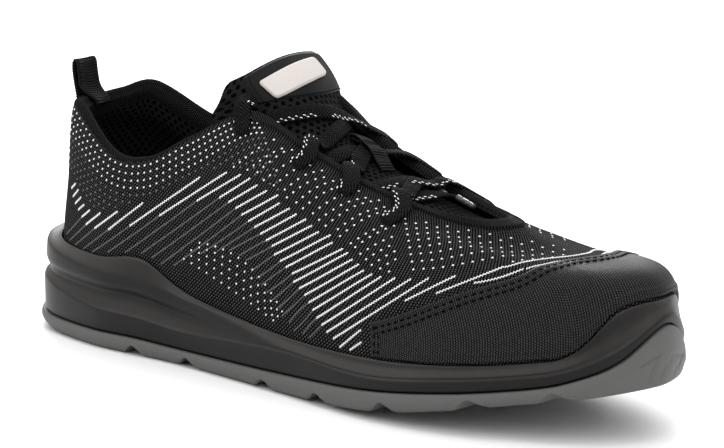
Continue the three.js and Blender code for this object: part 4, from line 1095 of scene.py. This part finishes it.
def stitch_row(points, normals, pitch, length=0.7, width=0.8, height=0.35):
    lengths = run_lengths(points)
    wanted = np.arange(pitch / 2, lengths[-1], pitch)
    centres = np.stack([np.interp(wanted, lengths, column) for column in points.T], -1)
    facings = unit(np.stack([np.interp(wanted, lengths, column) for column in normals.T], -1))
    return beads(centres, facings, np.gradient(centres, axis=0), pitch * length, width, height)


BINDING_START = 6


def throat_binding():
    t = np.linspace(BINDING_START, LOOP_SECTIONS - BINDING_START, 1400)
    run = np.linalg.norm(upper_point(t, 1.0) - upper_point(t, 0.9), axis=-1) / 0.1
    across = np.linspace(0, 1, 16)[:, None]
    level = 1 - BINDING_WIDTH / run * (1 - across)
    from_rim = np.minimum(across, 1 - across) * BINDING_WIDTH
    round_off = np.sqrt(1 - (1 - np.clip(from_rim / 0.8, 0, 1)) ** 2)
    lengths = run_lengths(upper_point(t, 0.97))
    ribs = 0.10 * np.cos(lengths * 2 * np.pi / 1.25)
    off = -0.3 + (1.5 * GAP + BINDING_THICKNESS + 0.3) * round_off + ribs * round_off
    grid = off_upper(t, level, off)
    tape = surface_uv(grid)[..., ::-1]
    sheet_piece("throat_tape", grid, tape, PAINTS["webbing"], "webbing", replaced=("throat_binding",))
    under = np.stack([grid[-1], off_upper(t, 1.0, -1.2), off_upper(t, 1.0, -UPPER_WALL)])
    sheet_piece("throat_tape_turn", under, surface_uv(under)[..., ::-1], PAINTS["webbing"], "webbing")


PATCH_START = 5.74  # where the tongue's smooth patch begins


def dressed_tongue(s, w, lift):
    """The tongue with its free end's corners rounded, its outer side full and its inner side wide."""
    late = np.clip((s - TONGUE_ROUND) / (7 - TONGUE_ROUND), 0, 1)
    wide = blend(w, 0.2, 1) * np.exp(-((s - 6.2) / 0.9) ** 2)
    full = np.clip((-w - 0.62) / 0.38, 0, 1) ** 1.5 * np.exp(-((s - 6) / 0.6) ** 2)
    s = s + TONGUE_REACH * blend(w, -0.9, 0.9) * blend(s, 5.6, 7)
    place = on_tongue(s, w * (1 - 0.2 * (1 - np.sqrt(1 - late ** 2))), lift)
    return place + full[..., None] * np.array(TONGUE_FULL) + wide[..., None] * np.array(TONGUE_WIDE)


TONGUE_ROUND = 6.5
TONGUE_FULL = (-12, -1.5, 0)  # mm
TONGUE_WIDE = (0, 5, 0.8)  # mm
TONGUE_REACH = 0.06


def tongue():
    s = np.linspace(0, len(TONGUE["x"]) - 1, 230)[:, None]
    w = np.linspace(-1, 1, 120)
    near = np.minimum(1 - np.abs(w), 0.12) / 0.12
    pad = TONGUE_THICKNESS * (1 - 0.6 * w ** 4)
    end = np.clip((len(TONGUE["x"]) - 1 - s) / 0.16, 0, 1)
    close = np.sqrt(1 - (1 - near) ** 2) * np.sqrt(1 - (1 - end) ** 2)
    s, w = np.broadcast_arrays(s, w)
    top = dressed_tongue(s, w, -(1 - close) * pad / 2)
    sheet_piece("tongue_cloth", top[::-1], surface_uv(top), PAINTS["lining"], "air_mesh", replaced=("tongue",))
    under = dressed_tongue(s, w, -pad + (1 - close) * pad / 2)
    w = w[0]
    made = sheet_piece("tongue_lining", under, surface_uv(under), PAINTS["lining"], "air_mesh")
    front = PATCH_START + 0.3 * (w - 0.1) ** 2
    share = np.linspace(0, 1, 90)[:, None]
    across = -0.74 + (w + 1) / 2 * 1.68
    place = front + (6.9 - front) * share
    side = np.minimum(np.minimum(across + 0.74, 0.94 - across) / 0.05, 1)
    rim = np.minimum(np.minimum(share, 1 - share) / 0.04, 1)
    lift = 0.6 * np.sqrt(np.clip(side * rim, 0, 1)) - 0.15
    patch = dressed_tongue(place, np.broadcast_to(across, place.shape), lift)
    sheet_piece("tongue_patch", patch[::-1], surface_uv(patch), PAINTS["patch"], "guard_cloth")
    rows = []
    for line in ((place[3], across), (place[:, 6], np.full(90, across[6])), (place[:, -7], np.full(90, across[-7]))):
        rows.append(stitch_row(dressed_tongue(*line, 0.45), tongue_normal(*line), 1.6, 0.7, 0.4, 0.2))
    piece("tongue_stitches", *joined(rows), PAINTS["black"], "guard_cloth")


# The label's front and rear edges, five places on each from the outer side: along and across the tongue
LABEL_FRONT = np.array([(5.98, -0.525), (5.965, -0.337), (5.99, -0.087), (6.055, 0.213), (6.21, 0.6)])
LABEL_REAR = np.array([(6.59, -0.575), (6.58, -0.362), (6.59, -0.112), (6.635, 0.2), (6.72, 0.562)])
LABEL_CORNER_RADIUS = 2.0


def label():
    """Bare label with round corners."""
    ends = [dressed_tongue(*place, 0.0) for place in (LABEL_FRONT[0], LABEL_REAR[0], LABEL_FRONT[-1])]
    half = np.array([np.linalg.norm(ends[1] - ends[0]), np.linalg.norm(ends[2] - ends[0])]) / 2
    grid = np.stack(np.meshgrid(np.linspace(-1, 1, 25), np.linspace(-1, 1, 61), indexing="ij"), -1) * half
    outside = np.abs(grid) - (half - LABEL_CORNER_RADIUS)
    corner = (outside > 0).all(-1)
    reach = np.linalg.norm(outside, axis=-1)
    scale = np.where(corner, outside.max(-1) / np.maximum(reach, 1e-6), 1)[..., None]
    grid = np.where(corner[..., None], np.sign(grid) * (half - LABEL_CORNER_RADIUS + outside * scale), grid)
    from_rim = (1 - np.abs(np.stack(np.meshgrid(np.linspace(-1, 1, 25), np.linspace(-1, 1, 61), indexing="ij"), -1)))
    from_rim = (from_rim * half).min(-1)
    share = (grid / half + 1) / 2
    front, rear = (smooth_open(places, 4 * share[..., 1]) for places in (LABEL_FRONT, LABEL_REAR))
    place = front + (rear - front) * share[..., :1]
    lift = 0.3 + (GAP + LABEL_THICKNESS) * np.clip(from_rim / 0.5, 0, 1) ** 0.5 * 0.8
    points = dressed_tongue(place[..., 0], place[..., 1], lift + 0.45)
    sheet_piece("label_film", points[::-1], surface_uv(points), PAINTS["film"], "label_film",
                replaced=("tongue_label",))


KEEPER_LINE = (("tongue", 4.68, 0.28, 0.9), ("tongue", 4.52, 0.25, 3.2), ("tongue", 4.2, 0.2, 4.1),
               ("tongue", 3.92, 0.16, 4), ("tongue", 3.7, 0.12, 2.5), ("tongue", 3.52, 0.1, 0.9))


def keeper():
    line, facing = spline(*placed(KEEPER_LINE), 0.2)
    points, faces, uv = tube(line, facing, KEEPER_WIDTH, WEBBING_THICKNESS, ribs=(0.35, 1.6))
    piece("lace_keeper_tape", points, faces, PAINTS["webbing"], "webbing", uv, replaced=("lace_keeper",))


LOOP_STATIONS = np.array([-0.34, -0.06, 0.22, 0.5, 0.76])
LOOP_OUTSIDE = (0.79, 0.87, 0.95)
LOOP_OVER = ((-2.9, 4), (-4, 9), (-4.2, 12.6), (-3.2, 13.9), (-1.9, 13), (-0.9, 8), (0.6, 3))  # mm from the edge
LOOP_INSIDE = (0.985, 0.96, 0.93)


def pull_loop():
    off = GAP + LOOP_THICKNESS / 2
    t = LOOP_STATIONS % LOOP_SECTIONS
    rows = [off_upper(t, v, off) for v in LOOP_OUTSIDE]
    rows += [upper_point(t, 1.0) + (x, 0, z) for x, z in LOOP_OVER]
    rows += [off_upper(t, v, -off - 2 * GAP - upper_wall(t, v)) for v in LOOP_INSIDE]
    rows = np.array(rows)
    share = np.linspace(0, len(rows) - 1, 400)
    rows = smooth_open(rows.reshape(len(rows), -1), share).reshape(400, len(t), 3)
    across = np.linspace(0, len(t) - 1, 24)
    grid = np.stack([smooth_open(row, across) for row in rows])
    normals = unit(np.cross(np.gradient(grid, axis=1), np.gradient(grid, axis=0)))
    lengths = run_lengths(grid[:, 12])
    ribs = (0.12 * np.cos(lengths * 2 * np.pi / 1.15))[:, None, None]
    rim = np.minimum(np.arange(24), 23 - np.arange(24)) / 2.0
    thick = (LOOP_THICKNESS / 2 * np.sqrt(1 - (1 - np.clip(rim, 0, 1)) ** 2))[None, :, None]
    whole = np.concatenate([grid + normals * (thick + ribs * (thick > 0)),
                            (grid - normals * (thick + ribs * (thick > 0)))[:, ::-1]], 1)
    uv = surface_uv(whole, True)
    sheet_piece("pull_loop_tape", whole, uv, PAINTS["webbing"], "webbing", True, ("pull_loop",))


# The lace's bars: those of the part's source, closer to the cloth on the inner side
LACE_BARS = {
    "rear_first": (("tongue", 5.7, -0.76, 1.1), ("tongue", 5.52, -0.4, 1.3), ("tongue", 5.38, 0, 1.6),
                   ("tongue", 5.2, 0.42, 2.4), ("upper", 16.7, 1.03, 1.5), ("upper", 17.15, 0.87, 1.2),
                   ("upper", 17.6, 0.75, 0.9)),
    "rear_second": (("upper", 6.4, 0.75, 1.1), ("upper", 6.85, 0.87, 2.2), ("upper", 7.3, 1.03, 2.6),
                    ("tongue", 4.72, -0.42, 1.9), ("tongue", 4.87, -0.06, 1.3), ("tongue", 5.1, 0.36, 1.4),
                    ("tongue", 5.32, 0.64, 1)),
    "middle_first": (("tongue", 4.3, -0.62, 1), ("tongue", 4.26, -0.33, 1), ("tongue", 4.21, -0.05, 1),
                     ("tongue", 4.1, 0.3, 1.2), ("upper", 15.9, 1.03, 1.5), ("upper", 16.35, 0.87, 1.2),
                     ("upper", 16.78, 0.75, 0.9)),
    "middle_second": (("upper", 7.22, 0.75, 1.1), ("upper", 7.65, 0.87, 2.2), ("upper", 8.1, 1.03, 2.6),
                      ("tongue", 3.76, -0.42, 2.1), ("tongue", 3.96, -0.14, 1.8), ("tongue", 4.18, 0.2, 1.9),
                      ("tongue", 4.5, 0.66, 1.2)),
    "front_first": (("tongue", 3.3, -0.62, 1.1), ("tongue", 3.2, -0.36, 1.6), ("tongue", 3.04, 0, 3.4),
                    ("tongue", 2.8, 0.34, 4.2), ("upper", 14.8, 1.03, 1.5), ("upper", 15.5, 0.84, 1.2),
                    ("upper", 16.25, 0.67, 0.9)),
    "front_second": (("upper", 7.75, 0.67, 1.1), ("upper", 8.5, 0.84, 2.2), ("upper", 9.2, 1.03, 2.8),
                     ("tongue", 2.74, -0.38, 3.6), ("tongue", 2.86, -0.14, 3.3), ("tongue", 3.02, 0.16, 2.9),
                     ("tongue", 3.25, 0.62, 1.3)),
    "corner_outer": (("upper", 5.75, 0.85, 1.1), ("upper", 5.84, 0.92, 1.9), ("upper", 5.98, 1.03, 2.4),
                     ("tongue", 6.2, -0.74, 1.4)),
    "corner_inner": (("upper", 18.27, 0.83, 0.9), ("upper", 18.22, 0.88, 1.2), ("upper", 18.12, 0.95, 1.2),
                     ("upper", 18.05, 0.99, 1.2)),
}
LACE_NODES = ("lace_crossing_rear", "lace_crossing_middle", "lace_crossing_front", "lace_corner_outer",
              "lace_corner_inner")
# White flecks on a bar: its name, the side of its middle, and the shares of its length from and to
FLECKS = (("rear_first", -1, 0.06, 0.3), ("rear_first", -1, 0.42, 0.7), ("rear_second", 1, 0.03, 0.13),
          ("rear_second", 1, 0.18, 0.42), ("middle_first", -1, 0.22, 0.4), ("middle_second", 1, 0.02, 0.08),
          ("middle_second", 1, 0.36, 0.52), ("front_second", 1, 0.04, 0.34), ("front_first", -1, 0.02, 0.2),
          ("front_first", -1, 0.3, 0.62), ("corner_outer", -1, 0.68, 0.95))
LACE_SINK = 2.2  # mm that a bar dips into its eyelet


def laces(end_line, end_facing):
    lines = {name: spline(*placed(rows), 0.4) for name, rows in LACE_BARS.items()}
    parts, uvs, flecks = [], [], []
    for name, (line, facing) in lines.items():
        lengths = run_lengths(line)
        rows = LACE_BARS[name]
        pinch = np.ones(len(line))
        for row, away in ((rows[0], lengths), (rows[-1], lengths[-1] - lengths)):
            if row[0] == "upper":
                pinch = np.minimum(pinch, 0.55 + 0.45 * np.sqrt(blend(away, 0, 4)))
                line = line - facing * (LACE_SINK * (1 - blend(away, 0, 3)))[:, None]
        points, faces, uv = tube(line, facing, LACE_WIDTH * pinch, LACE_THICKNESS * 1.3)
        parts.append((points, faces))
        uvs.append(uv)
    piece("laces", *joined(parts), PAINTS["lace"], "lace_braid", np.concatenate(uvs), replaced=LACE_NODES)
    lines["end"] = (end_line, end_facing)
    for name, side, start, stop in FLECKS + (("end", -1, 0.1, 0.55),):
        line, facing = lines[name]
        flecks.append(fleck_rows(line, facing, side, start, stop))
    piece("lace_flecks", *joined(flecks), PAINTS["white"], "lace_braid")


def fleck_rows(line, facing, side, start, stop):
    """Two staggered rows of white yarn near one edge of a bar."""
    along = unit(np.gradient(line, axis=0))
    across = unit(np.cross(facing, along))
    up = np.cross(along, across)
    lengths = run_lengths(line)
    out = []
    for row, (reach, shift) in enumerate(((0.37, 0.0), (0.24, 0.5))):
        wanted = np.arange(start * lengths[-1] + shift * 3.0, stop * lengths[-1], 3.0)
        at = np.clip(np.searchsorted(lengths, wanted), 0, len(line) - 1)
        centres = line[at] + across[at] * side * reach * LACE_WIDTH + up[at] * LACE_THICKNESS * (0.5 + 0.08 * row)
        way = along[at] + across[at] * side * 0.45
        out.append(beads(centres, up[at], way, 1.3, 0.5, 0.2))
    return joined(out)


camera()
end_line, end_facing = lace_end()
floor()
studio()
outsole()
midsole()
insole()
upper()
knit_lines()
toe_guard()
throat_binding()
tongue()
label()
keeper()
pull_loop()
laces(end_line, end_facing)
